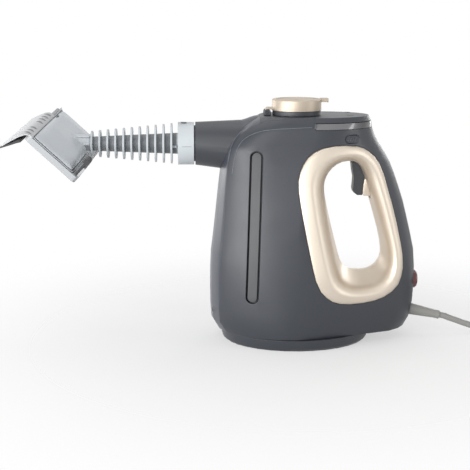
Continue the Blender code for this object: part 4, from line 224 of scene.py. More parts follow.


# Where the smoked band turns dark towards its rear, a painted dark reflection, in metres
TRIM_REFLECTION_FADE = (0.052, 0.062)
TRIM_REFLECTION_DARK = (0.030, 0.030, 0.033, 1)


def trim_painted_reflection(g, light, place):
    """The smoked band is darker towards its rear: a painted dark reflection."""
    apart = g.add("ShaderNodeSeparateXYZ", {0: place}).outputs
    return g.mix(g.span(apart["X"], *TRIM_REFLECTION_FADE, 0.0, 1.0), light, TRIM_REFLECTION_DARK)


def light_moulding(name):
    return surface(name, (0.56, 0.60, 0.625), 0.42, grain=2200, bump=0.10, mottle=0.025, wear=0.06)


# Materials: one for each slot of the record, then the looks that only this scene tells apart
materials = {
    "body_slate": surface(
        "slate", (0.025, 0.029, 0.038), 0.42, grain=2600, bump=0.12, mottle=0.05, wear=0.18, edge=0.0009,
        **{"Specular IOR Level": 0.62},
    ),
    "dark_slate": surface(
        "dark_slate", (0.036, 0.040, 0.048), 0.43, grain=2600, bump=0.12, edge=0.0007,
        **{"Specular IOR Level": 0.55},
    ),
    "champagne_gold": surface(
        "champagne", (0.655, 0.58, 0.49), 0.45, grain=3200, bump=0.05, mottle=0.03, wear=0.08, edge=0.0008,
        metallic=0.65, speck=0.25,
    ),
    "smoked_trim": recoloured(
        surface(
            "smoked", (0.15, 0.15, 0.16), 0.20, grain=900, bump=0.02, wear=0.10, rough_span=0.03,
            **{"Coat Weight": 0.8, "Coat Roughness": 0.05},
        ),
        trim_painted_reflection,
    ),
    "light_grey": light_moulding("light_grey"),
    "white_plastic": surface(
        "white_plastic", (0.52, 0.53, 0.54), 0.40, grain=2200, bump=0.08, mottle=0.02, wear=0.04,
    ),
    "black_rubber": surface(
        "rubber", (0.030, 0.030, 0.033), 0.62, grain=1800, bump=0.25, wear=0.10, **{"Sheen Weight": 0.08},
    ),
    "plain_steel": surface(
        "steel", (0.55, 0.55, 0.56), 0.30, grain=1500, bump=0.10, stretch=(1, 1, 6), metallic=1.0,
    ),
    "brass": surface(
        "brass", (0.68, 0.50, 0.24), 0.30, grain=1500, bump=0.10, stretch=(6, 1, 1), metallic=1.0,
    ),
    "aluminium": surface("aluminium", (0.66, 0.67, 0.69), 0.45, grain=900, bump=0.30, metallic=1.0),
    "black_plastic": surface("black_plastic", (0.022, 0.022, 0.024), 0.50, grain=2200, bump=0.14),
    "red_silicone": surface("silicone", (0.50, 0.13, 0.08), 0.55, grain=1500, bump=0.10),
    "red_lens": surface(
        "lens", (0.11, 0.004, 0.007), 0.12, grain=500, bump=0.02, wear=0.05, rough_span=0.02,
        **{"Coat Weight": 0.7, "Coat Roughness": 0.05},
    ),
    "grey_cord": surface(
        "cord_sheath", (0.285, 0.282, 0.270), 0.55, grain=1800, bump=0.20, mottle=0.05, wear=0.08,
    ),
    "neck": recoloured(light_moulding("neck_grey"), neck_colour_and_shade),
    "casing": surface(
        "casing_grey", (0.58, 0.615, 0.65), 0.38, grain=2200, bump=0.08, mottle=0.03, wear=0.10, edge=0.0012,
    ),
    "lid": surface(
        "brushed_champagne", (0.46, 0.395, 0.32), 0.46, grain=2600, bump=0.35, mottle=0.04, wear=0.12,
        edge=0.0007, metallic=0.70, speck=0.5, stretch=(0.03, 0.03, 1),
    ),
    "shadow": surface("shadow_grey", (0.085, 0.090, 0.098), 0.6, grain=1500, bump=0.10),
    # Painted shade for the sheet's slots and the socket's recess and groove; also the collar's side line
    "slot_grey": surface("slot_grey", (0.20, 0.205, 0.215), 0.5, grain=1500, bump=0.10),
    "sheet": surface("sheet_white", (0.56, 0.57, 0.58), 0.50, grain=900, bump=0.02, mottle=0.02, wear=0.04),
    "tray": surface("tray_grey", (0.42, 0.435, 0.45), 0.46, grain=900, bump=0.02, mottle=0.03, wear=0.06),
    # Spine: a lighter copy of the body's slate, a painted reflection of grazing light along the band
    "spine": surface(
        "spine_sheen_slate", (0.046, 0.051, 0.066), 0.34, grain=2600, bump=0.10, mottle=0.05, wear=0.22,
        edge=0.0009, **{"Specular IOR Level": 0.55},
    ),
    # Seams: much lighter than the slate, painted highlights along the shoulder's creases
    "seam_highlight": surface("seam_highlight_slate", (0.16, 0.17, 0.20), 0.40, grain=2600, bump=0.08),
    # Darker steel for the front screws, and painted shade on the lid's hinge pin
    "dark_steel_and_shade": surface("dark_steel_and_shade", (0.075, 0.075, 0.080), 0.42, grain=1500, bump=0.10, metallic=0.6),
    "inlay": surface(
        "inlay_slate", (0.036, 0.038, 0.042), 0.45, grain=2600, bump=0.12, wear=0.15,
        **{"Specular IOR Level": 0.55},
    ),
}
NODE_MATERIALS = {
    "inlay_near": "inlay", "inlay_far": "inlay", "lock_bar": "spine", "spine_cover": "spine",
    "attachment_neck": "neck", "head_casing": "casing", "head_tray": "tray", "lid": "lid",
    "lid_hinge_pin": "dark_steel_and_shade", "front_screw_near": "dark_steel_and_shade", "front_screw_far": "dark_steel_and_shade",
}


def smoothing_group():
    """A modifier group that shades faces smoothly up to a given angle between them."""
    tree = bpy.data.node_groups.new("smooth_by_angle", "GeometryNodeTree")
    tree.interface.new_socket("Geometry", in_out="INPUT", socket_type="NodeSocketGeometry")
    limit = tree.interface.new_socket("Angle", in_out="INPUT", socket_type="NodeSocketFloat")
    tree.interface.new_socket("Geometry", in_out="OUTPUT", socket_type="NodeSocketGeometry")
    start = tree.nodes.new("NodeGroupInput")
    end = tree.nodes.new("NodeGroupOutput")
    faces = tree.nodes.new("GeometryNodeSetShadeSmooth")
    edges = tree.nodes.new("GeometryNodeSetShadeSmooth")
    edges.domain = "EDGE"
    angle = tree.nodes.new("GeometryNodeInputMeshEdgeAngle")
    compare = tree.nodes.new("FunctionNodeCompare")
    compare.data_type = "FLOAT"
    compare.operation = "LESS_EQUAL"
    tree.links.new(start.outputs["Geometry"], faces.inputs["Geometry"])
    tree.links.new(faces.outputs["Geometry"], edges.inputs["Geometry"])
    tree.links.new(angle.outputs["Unsigned Angle"], compare.inputs[0])
    tree.links.new(start.outputs["Angle"], compare.inputs[1])
    tree.links.new(compare.outputs["Result"], edges.inputs["Shade Smooth"])
    tree.links.new(edges.outputs["Geometry"], end.inputs["Geometry"])
    return tree, limit.identifier


SMOOTHING, ANGLE_INPUT = smoothing_group()
# Largest angle, in degrees, over which a solid's faces still look like one surface
SOLID_ANGLE = 30
SOLID_ANGLES = {
    "handle_trim_near": 52, "handle_trim_far": 52, "spine_cover": 32, "head_casing": 24,
    "indicator_lens": 50, "strain_relief": 40, "trigger": 40, "boiler_lower": 40, "boiler_upper": 40,
    "mains_plug": 35,
}
WELD_DISTANCE = 0.00002


def shade_smoothly(thing, degrees):
    by_angle = thing.modifiers.new("smooth", "NODES")
    by_angle.node_group = SMOOTHING
    by_angle[ANGLE_INPUT] = math.radians(degrees)


def smooth_solid(thing, degrees):
    """Joins split points and shades a solid smoothly, with modifiers only."""
    custom = thing.data.attributes.get("custom_normal")
    if custom:
        thing.data.attributes.remove(custom)
    weld = thing.modifiers.new("weld", "WELD")
    weld.merge_threshold = WELD_DISTANCE
    shade_smoothly(thing, degrees)
    weighted = thing.modifiers.new("weighted", "WEIGHTED_NORMAL")
    weighted.keep_sharp = True


def dress_solids():
    slot_of = {entry["node"]: entry["material_slot"] for entry in frame["record"]["subparts"]}
    for name, node in NODES.items():
        node.data.materials.clear()
        node.data.materials.append(materials[NODE_MATERIALS.get(name, slot_of[name])])
        smooth_solid(node, SOLID_ANGLES.get(name, SOLID_ANGLE))


# Lines and outlines
def spread(low, high, count):
    """Evenly spaced values from low to high."""
    return [low + (high - low) * i / count for i in range(count + 1)]


def oval(centre, half_wide, half_high, count=20):
    angles = [FULL_TURN * i / count for i in range(count)]
    return [(centre[0] + half_wide * math.cos(a), centre[1] + half_high * math.sin(a)) for a in angles]


def rounded(centre, half_wide, half_high, corner, steps=4):
    """A box's outline with round corners."""
    made = []
    for k, (sx, sy) in enumerate(((1, 1), (-1, 1), (-1, -1), (1, -1))):
        for i in range(steps + 1):
            angle = math.pi / 2 * (k + i / steps)
            made.append((
                centre[0] + sx * (half_wide - corner) + corner * math.cos(angle),
                centre[1] + sy * (half_high - corner) + corner * math.sin(angle),
            ))
    return made


def curve_point(a, b, c, d, t):
    square = (a * 2 - b * 5 + c * 4 - d) * (t * t / 2)
    cube = (b * 3 - a - c * 3 + d) * (t**3 / 2)
    return b + (c - a) * (t / 2) + square + cube


def smooth_line(points, count, run_on=0):
    """Points spread evenly by index along a Catmull-Rom curve, whose ends run on straight with run_on 1."""
    known = [Vector(point) for point in points]
    before = known[0] + (known[0] - known[1]) * run_on
    after = known[-1] + (known[-1] - known[-2]) * run_on
    known = [before] + known + [after]
    spans = len(points) - 1
    made = []
    for i in range(count + 1):
        along = min(i * spans / count, spans)
        k = min(int(along), spans - 1)
        made.append(curve_point(*known[k:k + 4], along - k))
    return made


# Shapes
def outward(shape):
    bmesh.ops.recalc_face_normals(shape, faces=shape.faces)
    return shape


def lofted(lines, ring=False):
    """A skin through closed lines of points, capped at both ends or, as a ring, joined end to end."""
    shape = bmesh.new()
    rows = [[shape.verts.new(point) for point in line] for line in lines]
    following = rows[1:] + rows[:1] if ring else rows[1:]
    for a, b in zip(rows, following):
        for i in range(len(a)):
            k = (i + 1) % len(a)
            shape.faces.new((a[i], a[k], b[k], b[i]))
    if not ring:
        shape.faces.new(rows[0])
        shape.faces.new(list(reversed(rows[-1])))
    return outward(shape)


def slab(top_points, low_points):
    """A closed slab between two grids of points."""
    shape = bmesh.new()
    top = [[shape.verts.new(point) for point in row] for row in top_points]
    low = [[shape.verts.new(point) for point in row] for row in low_points]
    last, wide = len(top) - 1, len(top[0]) - 1
    for layer in (top, low):
        for i in range(last):
            for j in range(wide):
                shape.faces.new((layer[i][j], layer[i][j + 1], layer[i + 1][j + 1], layer[i + 1][j]))
    for i in range(last):
        for j in (0, wide):
            shape.faces.new((top[i][j], top[i + 1][j], low[i + 1][j], low[i][j]))
    for j in range(wide):
        for i in (0, last):
            shape.faces.new((top[i][j], top[i][j + 1], low[i][j + 1], low[i][j]))
    return outward(shape)


def prism(outline, low, high, axis="Y", into=Matrix.Identity(4)):
    """An outline in millimetres swept along an axis: (x, z) for Y, (x, y) for Z and (y, z) for X."""
    turns = {"Y": lambda a, b, c: (a, c, b), "Z": lambda a, b, c: (a, b, c), "X": lambda a, b, c: (c, a, b)}
    turn = turns[axis]
    shape = lofted([[turn(a, b, c) for a, b in outline] for c in (low, high)])
    bmesh.ops.transform(shape, matrix=into @ Matrix.Scale(MM, 4), verts=shape.verts)
    return shape


def spun(profile, count, turn=0.0):
    """Sections round the neck's axis from (place, radius) pairs in millimetres, closed at both ends."""
    angles = [FULL_TURN * (i + turn) / count for i in range(count)]
    return lofted([
        [Vector((place, radius * math.sin(a), AXIS + radius * math.cos(a))) * MM for a in angles]
        for place, radius in profile
    ])


# Largest angles, in degrees, over which a plain piece's and a soft piece's faces look like one surface
PLAIN_ANGLE = 35
SOFT_ANGLE = 40
BEVEL_SEGMENTS = 2


def mesh_object(name, shape):
    """An object from a bmesh, which is freed."""
    mesh = bpy.data.meshes.new(name)
    shape.to_mesh(mesh)
    shape.free()
    thing = bpy.data.objects.new(name, mesh)
    link(thing)
    return thing


def piece(name, shape, body, look, degrees=PLAIN_ANGLE, bevel=0.0, stands_for=()):
    """A mesh piece riding on a body, with its bevel in millimetres, in place of the solids it stands for."""
    thing = mesh_object(name, shape)
    thing.data.materials.append(materials[look])
    if bevel:
        edge = thing.modifiers.new("bevel", "BEVEL")
        edge.width = bevel * MM
        edge.segments = BEVEL_SEGMENTS
        edge.limit_method = "ANGLE"
    shade_smoothly(thing, degrees)
    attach(thing, body)
    if stands_for:
        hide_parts(*stands_for)


def mirrored(name, outline, inner, thickness, body, look, bevel=0.0):
    """A near and a far plate of one outline, from a distance off the middle plane outwards."""
    for side_name, side in SIDES:
        low, high = sorted((side * inner, side * (inner + thickness)))
        piece(f"{name}_{side_name}", prism(outline, low, high), body, look, bevel=bevel)


# Window head: the slope of its short side, its roll about that side, and its middle in metres
HEAD_SLOPE = math.radians(43.056)
HEAD_ROLL = math.radians(9.405)
HEAD_PLACE = (-0.2284, 0, 0.1949)


def head_frame():
    """The head's own frame: x along its long side, y along its short side and z out of its top."""
    across = Vector((0, 1, 0))
    short_way = Vector((math.cos(HEAD_SLOPE), 0, -math.sin(HEAD_SLOPE)))
    long_way = across * math.cos(HEAD_ROLL) + short_way.cross(across) * math.sin(HEAD_ROLL)
    turn = Matrix((long_way, short_way, short_way.cross(long_way))).transposed().to_4x4()
    return Matrix.Translation(HEAD_PLACE) @ turn


HEAD = head_frame()


def head_point(long_side, short_side, height):
    return HEAD @ (Vector((long_side, short_side, height)) * MM)


def head_prism(outline, low, high):
    """An outline of (short side, height) points swept along the head's long side."""
    return lofted([[head_point(place, a, b) for a, b in outline] for place in (low, high)])


def ribbon(rows, thickness, lift=0.0):
    """A closed sheet from rows of points in the head frame, thick towards its underside."""
    layers = []
    for depth in (lift, lift - thickness):
        layer = []
        for i, row in enumerate(rows):
            before = rows[max(i - 1, 0)][0]
            after = rows[min(i + 1, len(rows) - 1)][0]
            run = Vector((after[1] - before[1], after[2] - before[2])).normalized()
            out = Vector((run.y, -run.x)) * depth
            layer.append([head_point(a, b + out.x, c + out.y) for a, b, c in row])
        layers.append(layer)
    return slab(*layers)


# Squeegee sheet: arches from the tray's edge to the blade. Each point is short side, height and far end
SHEET = [
    (-25.7, 7.3, 29.5), (-29.0, 7.0, 30.0), (-32.4, 5.0, 33.0), (-35.2, 0.9, 36.5), (-37.7, -5.0, 40.0),
    (-40.1, -12.3, 47.0), (-42.2, -19.4, 55.0),
]
SHEET_NEAR = -61.0
SHEET_THICKNESS = 1.1
SHEET_ROWS = 26
SHEET_COLUMNS = 40


def make_sheet():
    rows = [
        [(place, short_side, height) for place in spread(SHEET_NEAR, far, SHEET_COLUMNS)]
        for short_side, height, far in smooth_line(SHEET, SHEET_ROWS)
    ]
    shape = ribbon(rows, SHEET_THICKNESS)
    piece(
        "squeegee_sheet", shape, "window_head", "sheet", SOFT_ANGLE,
        stands_for=["squeegee_holder"],
    )


# Slots in the sheet, slanted dark crescents of painted shade in two groups: where each starts, and the lines
# that they cross
SLOT_STARTS = (20.4, 9.7, -1.0, -12.8, -36.5, -47.0, -57.0)
SHEET_LINES = 60
SLOT_FIRST_LINE = 9
SLOT_LINES = 22
SLOT_ROWS = 12
SLOT_COLUMNS = 4
SLOT_SLANT = 9.5
SLOT_SLANT_POWER = 1.4
SLOT_TIP_HALF = 0.25
SLOT_BULGE = 2.0
SLOT_BULGE_POWER = 0.8
SLOT_BULGE_START = 0.08
SLOT_EDGE = 0.2
SLOT_THICKNESS = 0.3
SLOT_LIFT = 0.12


def make_sheet_slots():
    lines = smooth_line(SHEET, SHEET_LINES)
    for i, start in enumerate(SLOT_STARTS):
        rows = []
        for share in spread(0, 1, SLOT_ROWS):
            short_side, height, _ = lines[round(SLOT_FIRST_LINE + share * SLOT_LINES)]
            middle = start + SLOT_SLANT * share ** SLOT_SLANT_POWER
            open_share = min(1, SLOT_BULGE_START + (1 - SLOT_BULGE_START) * share)
            half = SLOT_TIP_HALF + SLOT_BULGE * math.sin(math.pi * open_share) ** SLOT_BULGE_POWER
            places = spread(middle - half, middle + half, SLOT_COLUMNS)
            rows.append([(max(place, SHEET_NEAR + SLOT_EDGE), short_side, height) for place in places])
        shape = ribbon(rows, SLOT_THICKNESS, SLOT_LIFT)
        piece(f"sheet_slot_shade_{i}", shape, "window_head", "slot_grey", SOFT_ANGLE)


# Rubber blade under the sheet, as long as its tip
BLADE = [
    (-31.0, -4.6), (-32.6, -3.4), (-34.6, -5.6), (-38.0, -13.4), (-41.6, -20.6), (-42.6, -23.4),
    (-41.9, -23.5), (-36.6, -14.2), (-33.0, -7.6),
]
BLADE_ENDS = (-61.0, 55.0)
# Far wiper strip, lower than the neck
STRIP = [
    (24.4, 7.6), (28.6, 7.6), (28.6, 9.4), (27.2, 10.6), (26.9, 16.4), (26.1, 16.4), (25.8, 10.6),
    (24.4, 9.4),
]
STRIP_ENDS = (46.2, 57.8)


def make_rubbers():
    for name, outline, ends, solid in (
        ("squeegee_rubber", BLADE, BLADE_ENDS, "squeegee_blade"),
        ("far_strip_rubber", STRIP, STRIP_ENDS, "wiper_strip_far"),
    ):
        shape = head_prism(outline, *ends)
        piece(name, shape, "window_head", "black_rubber", SOFT_ANGLE, stands_for=[solid])


# Head casing: low at both ends, raised in the middle, flared into the neck's socket
CASING_LONG = 58.0
CASING_NEAR_SIDE = -25.3
CASING_FAR_SIDE = 21.6
CASING_FOOT = 6.3
CASING_RIM = 0.6
CASING_LOW = 2.2
CASING_RAISE = 6.2
CASING_RAISE_END = 59.0
CASING_RAISE_RUN = 37.0
CASING_RAISE_SLANT = 0.25
CASING_END_RUN = 5.0
CASING_END_SHARE = 0.3
CASING_SIDE_RUN = 8.0
CASING_LONG_STEPS = 58
CASING_SHORT_STEPS = 28
CASING_ANGLE = 60
SKIN_VOXEL = 0.8
SKIN_ROUNDS = 5
SKIN_FACTOR = 0.5
# The socket's square form, its round flare and its bore, as (place, radius) along the neck's axis
SOCKET = [(-231.0, 12.4), (-201.5, 12.2)]
FLARE = [(-229.0, 17.0), (-224.0, 14.6), (-219.5, 11.4), (-215.5, 9.0), (-213.0, 8.2)]
BORE = [(-213.2, 7.4), (-199.0, 7.4)]
SOCKET_SIDES = 4
SOCKET_TURN = 0.5
FLARE_SIDES = 32
BORE_SIDES = 40


def within(share):
    return min(1, max(0, share))


def arc_share(share):
    """A quarter circle's height at a share of its width."""
    return math.sqrt(1 - (1 - within(share)) ** 2)


def casing_height(long_side, short_side):
    along = abs(long_side + CASING_RAISE_SLANT * short_side) if long_side < 0 else long_side
    rise = within((CASING_RAISE_END - along) / CASING_RAISE_RUN)
    rise = rise * rise * (3 - 2 * rise)
    end = arc_share((CASING_LONG - abs(long_side)) / CASING_END_RUN)
    side = arc_share(min(short_side - CASING_NEAR_SIDE, CASING_FAR_SIDE - short_side) / CASING_SIDE_RUN)
    body = (CASING_LOW + CASING_RAISE * rise) * side * (CASING_END_SHARE + (1 - CASING_END_SHARE) * end)
    return CASING_FOOT + CASING_RIM + body


def casing_shape():
    grid = [
        [(place, short_side) for short_side in spread(CASING_NEAR_SIDE, CASING_FAR_SIDE, CASING_SHORT_STEPS)]
        for place in spread(-CASING_LONG, CASING_LONG, CASING_LONG_STEPS)
    ]
    top = [[head_point(a, b, casing_height(a, b)) for a, b in row] for row in grid]
    low = [[head_point(a, b, CASING_FOOT) for a, b in row] for row in grid]
    return slab(top, low)


def above_tray(shape):
    """Keeps what is over the casing's foot level, closed."""
    flat = head_point(0, 0, CASING_FOOT)
    up = (head_point(0, 0, 1) - head_point(0, 0, 0)).normalized()
    parts = list(shape.verts) + list(shape.edges) + list(shape.faces)
    made = bmesh.ops.bisect_plane(shape, geom=parts, plane_co=flat, plane_no=up, clear_inner=True)
    edges = [e for e in made["geom_cut"] if isinstance(e, bmesh.types.BMEdge)]
    bmesh.ops.holes_fill(shape, edges=edges)
    return shape


def settled(thing):
    """The mesh of an object with its modifiers, as a bmesh; the object is removed."""
    graph = bpy.context.evaluated_depsgraph_get()
    shape = bmesh.new()
    shape.from_object(thing, graph)
    mesh = thing.data
    bpy.data.objects.remove(thing)
    bpy.data.meshes.remove(mesh)
    return shape


def blended(shapes, voxel, rounds, bore):
    """Shapes joined into one skin with soft fillets, less the bore."""
    whole = bmesh.new()
    for shape in shapes:
        mesh = bpy.data.meshes.new("form")
        shape.to_mesh(mesh)
        shape.free()
        whole.from_mesh(mesh)
        bpy.data.meshes.remove(mesh)
    thing = mesh_object("form_whole", whole)
    skin = thing.modifiers.new("skin", "REMESH")
    skin.mode = "VOXEL"
    skin.voxel_size = voxel * MM
    soft = thing.modifiers.new("soft", "SMOOTH")
    soft.factor = SKIN_FACTOR
    soft.iterations = rounds
    cutter = mesh_object("form_bore", bore)
    less = thing.modifiers.new("less", "BOOLEAN")
    less.operation = "DIFFERENCE"
    less.solver = "EXACT"
    less.object = cutter
    shape = settled(thing)
    settled(cutter).free()
    return shape


def make_casing():
    socket = above_tray(spun(SOCKET, SOCKET_SIDES, SOCKET_TURN))
    flare = above_tray(spun(FLARE, FLARE_SIDES))
    bore = spun(BORE, BORE_SIDES)
    shape = blended([casing_shape(), socket, flare], SKIN_VOXEL, SKIN_ROUNDS, bore)
    piece(
        "casing_shell", shape, "window_head", "casing", CASING_ANGLE,
        stands_for=["head_casing"],
    )


# Step round the casing's foot and the dark lines over and under it, painted shadow lines: reach, low, high,
# look and slot
CASING_STEPS = {
    "casing_step": (1.6, 6.1, 6.9, "casing", "light_grey"),
    "casing_shadow_line": (0.5, 6.9, 7.3, "shadow", "black_rubber"),
    "tray_shadow_line": (2.0, 6.05, 6.35, "shadow", "black_rubber"),
}
STEP_INSET = 2.0
STEP_INNER_CORNER = 2.0
STEP_OUTER_CORNER = 4.0


def make_casing_steps():
    centre = (0, (CASING_NEAR_SIDE + CASING_FAR_SIDE) / 2)
    half = (CASING_FAR_SIDE - CASING_NEAR_SIDE) / 2
    inner = rounded(centre, CASING_LONG - STEP_INSET, half - STEP_INSET, STEP_INNER_CORNER)
    for name, (reach, low, high, look, slot) in CASING_STEPS.items():
        outer = rounded(centre, CASING_LONG + reach, half + reach, STEP_OUTER_CORNER)
        levels = [(outer, low), (outer, high), (inner, high), (inner, low)]
        shape = lofted([[head_point(a, b, level) for a, b in line] for line, level in levels], ring=True)
        piece(name, shape, "window_head", look, SOFT_ANGLE)


# Fin at the head's far end, a dark plate of painted shade for a small notch by the casing's edge along the
# sheet, and on the socket's sides thin plates of painted shade that stand for a recess and a groove
FIN = [(-236.2, 227.4), (-240.5, 222.6), (-238.0, 219.0), (-234.0, 221.6)]
FIN_SPAN = (55.5, 58.2)
NOTCH_SHADE = [(14.0, -23.4), (20.0, -24.6), (21.8, -23.4), (19.4, -21.2), (15.6, -22.2)]
NOTCH_SHADE_LEVELS = (9.6, 13.3)
RECESS = [(-209.8, 196.4), (-201.7, 196.4), (-201.7, 191.0), (-208.4, 191.0)]
RECESS_INNER = 8.45
RECESS_THICKNESS = 0.3
GROOVE = [(-217.0, 203.9), (-201.7, 203.9), (-201.7, 203.4), (-217.0, 203.4)]
GROOVE_INNER = 8.5
GROOVE_THICKNESS = 0.2


def make_head_marks():
    piece("head_fin", prism(FIN, *FIN_SPAN), "window_head", "sheet", bevel=0.3)
    notch_shade = prism(NOTCH_SHADE, *NOTCH_SHADE_LEVELS, "Z", HEAD)
    piece("head_notch_shade", notch_shade, "window_head", "shadow", bevel=0.4)
    # Thin plates of painted shade for the socket's recess and groove
    for name, outline, inner, thickness in (
        ("socket_recess_shade", RECESS, RECESS_INNER, RECESS_THICKNESS),
        ("socket_groove_shade", GROOVE, GROOVE_INNER, GROOVE_THICKNESS),
    ):
        mirrored(name, outline, inner, thickness, "window_head", "slot_grey")


# Trigger guard: two gold cheeks behind the trigger
GUARD = [
    (66.9, 161.6), (66.0, 156.0), (65.4, 147.0), (66.4, 145.2), (73.4, 145.0), (76.5, 147.0), (72.0, 160.0),
    (70.0, 166.0),
]
GUARD_INNER = 8.2
GUARD_THICKNESS = 2.0


def make_trigger_guard():
    mirrored(
        "guard", GUARD, GUARD_INNER, GUARD_THICKNESS, "housing", "champagne_gold",
        bevel=0.4,
    )


# Lock button: raised ribs on both end faces of the lock bar, inside a thin frame
LOCK_FACES = ((-1, -35.2), (1, 34.0))
LOCK_MIDDLE = (50.6, 204.06)
LOCK_HALF_WIDE = 6.9
LOCK_HALF_HIGH = 3.55
LOCK_CORNER = 3.5
LOCK_CORNER_STEPS = 8
LOCK_FRAME_WIDTH = 0.8
LOCK_FRAME_ROOT = -0.2
LOCK_FRAME_RISE = 0.55
LOCK_RIBS = 4
LOCK_RIB_STEP = 2.3
LOCK_RIB_RISE = 0.8
# One rib's outline: x from its own middle, and height
LOCK_RIB = [(-1.3, 201.9), (-0.4, 201.9), (0.4, 204.1), (1.1, 206.2), (0.2, 206.2), (-0.5, 204.1)]


def lock_frame(face, side):
    lines = []
    for inset, rise in (
        (0.0, LOCK_FRAME_ROOT), (0.0, LOCK_FRAME_RISE),
        (LOCK_FRAME_WIDTH, LOCK_FRAME_RISE), (LOCK_FRAME_WIDTH, LOCK_FRAME_ROOT),
    ):
        line = rounded(
            LOCK_MIDDLE, LOCK_HALF_WIDE - inset, LOCK_HALF_HIGH - inset, LOCK_CORNER - inset,
            LOCK_CORNER_STEPS,
        )
        lines.append([Vector((a, face + side * rise, b)) * MM for a, b in line])
    return lofted(lines, ring=True)


def make_lock_button():
    for side, face in LOCK_FACES:
        for i in range(LOCK_RIBS):
            middle = LOCK_MIDDLE[0] + (i - (LOCK_RIBS - 1) / 2) * LOCK_RIB_STEP
            rib = [(middle + x, z) for x, z in LOCK_RIB]
            low, high = sorted((face, face + side * LOCK_RIB_RISE))
            name = f"lock_rib_{side + 1}_{i}"
            piece(name, prism(rib, low, high), "lock_bar", "spine", bevel=0.15)
        piece(f"lock_frame_{side + 1}", lock_frame(face, side), "lock_bar", "spine")


# Dark ovals of painted shade for two blind sockets in the deck: their middles (x, y), half sizes and levels
DECK_SOCKETS = ((52.6, 24.0), (51.8, -8.0))
DECK_SOCKET_HALVES = (3.4, 3.6)
DECK_SOCKET_LEVELS = (224.2, 224.62)


def make_deck_sockets():
    for i, middle in enumerate(DECK_SOCKETS):
        shape = prism(oval(middle, *DECK_SOCKET_HALVES), *DECK_SOCKET_LEVELS, "Z")
        piece(f"deck_socket_shade_{i}", shape, "housing", "shadow")


# Attachment collar: a dark plate of painted shade for a notch on its rim, a dark line on its side, and ribs
# beside the last fin
COLLAR_NOTCH_SHADE = [(-113.6, 217.6), (-112.9, 218.3), (-107.6, 218.0), (-108.0, 217.2), (-111.5, 217.2)]
COLLAR_NOTCH_SHADE_SPAN = (-5.0, -3.4)
COLLAR_LINE = [(-112.5, 196.0), (-103.0, 196.0), (-103.0, 195.7), (-112.5, 195.7)]
COLLAR_LINE_SPAN = (-20.62, -20.3)
CORE_RIB = [(-123.6, 195.9), (-117.2, 195.9), (-117.2, 193.9), (-123.6, 193.9)]
CORE_RIB_INNER = 9.6
CORE_RIB_THICKNESS = 3.0


def make_collar_marks():
    mark = prism(COLLAR_NOTCH_SHADE, *COLLAR_NOTCH_SHADE_SPAN)
    line = prism(COLLAR_LINE, *COLLAR_LINE_SPAN)
    piece("collar_notch_shade", mark, "attachment", "shadow")
    piece("collar_line", line, "attachment", "slot_grey")
    mirrored(
        "core_rib", CORE_RIB, CORE_RIB_INNER, CORE_RIB_THICKNESS, "attachment", "light_grey",
        bevel=0.3,
    )


# Dark plates of painted shade for the gap at the front end of the trim band
TRIM_GAP = [(13.2, 213.9), (15.3, 213.9), (15.3, 219.2), (13.9, 219.2)]
TRIM_GAP_INNER = 40.45
TRIM_GAP_THICKNESS = 1.5


def make_trim_gaps():
    mirrored("trim_gap_shade", TRIM_GAP, TRIM_GAP_INNER, TRIM_GAP_THICKNESS, "housing", "shadow")


# Fairing from the nozzle's top into the shoulder, as (place, radius) along the nozzle's axis
FAIRING = [
    (-54.5, 22.4), (-53.0, 23.3), (-50.7, 23.8), (-48.5, 24.6), (-46.4, 25.4), (-44.0, 26.2), (-42.0, 26.8),
    (-40.0, 27.2), (-38.3, 27.3), (-37.2, 27.0), (-37.0, 20.0), (-54.5, 20.0),
]
FAIRING_SIDES = 96
FAIRING_ANGLE = 50


def make_fairing():
    piece("nozzle_fairing", spun(FAIRING, FAIRING_SIDES), "housing", "spine", FAIRING_ANGLE)


def first_hit(nodes, start, way):
    """Where a straight line first meets any of the nodes, or None."""
    found = None
    for name in nodes:
        hit, where, _, _ = NODES[name].ray_cast(start, way)
        if hit and (found is None or (where - start).length < (found - start).length):
            found = where
    return found


# Seal in the deck's front gap, along the crown of the spine cover's rear edge
CROWN_PLACE = -36.85
CROWN_HALF_WIDTH = 29.0
CROWN_STEPS = 28
CROWN_VIEW_HEIGHT = 300
SEAL_SPAN = (-37.0, -36.25)
SEAL_RISE = 0.02
SEAL_DEPTH = 0.8
SEAL_LOW_SHARE = 0.97


def make_deck_seal():
    bpy.context.view_layer.update()
    down = Vector((0, 0, -1))
    starts = [
        Vector((CROWN_PLACE, y, CROWN_VIEW_HEIGHT)) * MM
        for y in spread(-CROWN_HALF_WIDTH, CROWN_HALF_WIDTH, CROWN_STEPS)
    ]
    crown = [first_hit(("spine_cover",), start, down) / MM for start in starts]
    high = [(p.y, p.z + SEAL_RISE) for p in crown]
    low = [(p.y * SEAL_LOW_SHARE, p.z - SEAL_DEPTH) for p in reversed(crown)]
    piece("deck_seal", prism(high + low, *SEAL_SPAN, "X"), "housing", "body_slate")


# Seams over the shoulder: thin raised lines through side-view points (x, z), laid on the solids, lighter
# than the slate as painted highlights along the creases
SEAMS = {
    "inner": [(-69.0, 177.0), (-67.0, 188.0), (-64.3, 198.0), (-58.2, 207.8), (-48.4, 214.7)],
    "outer": [
        (-64.3, 171.5), (-61.4, 189.0), (-57.4, 199.4), (-50.7, 206.3), (-40.0, 211.5), (-26.8, 214.1),
        (-7.8, 215.4), (11.2, 216.1),
    ],
}
SEAM_RADIUS = 0.30
SEAM_SIDES = 8
SEAM_POINTS = 60
SEAM_VIEW_DISTANCE = 100


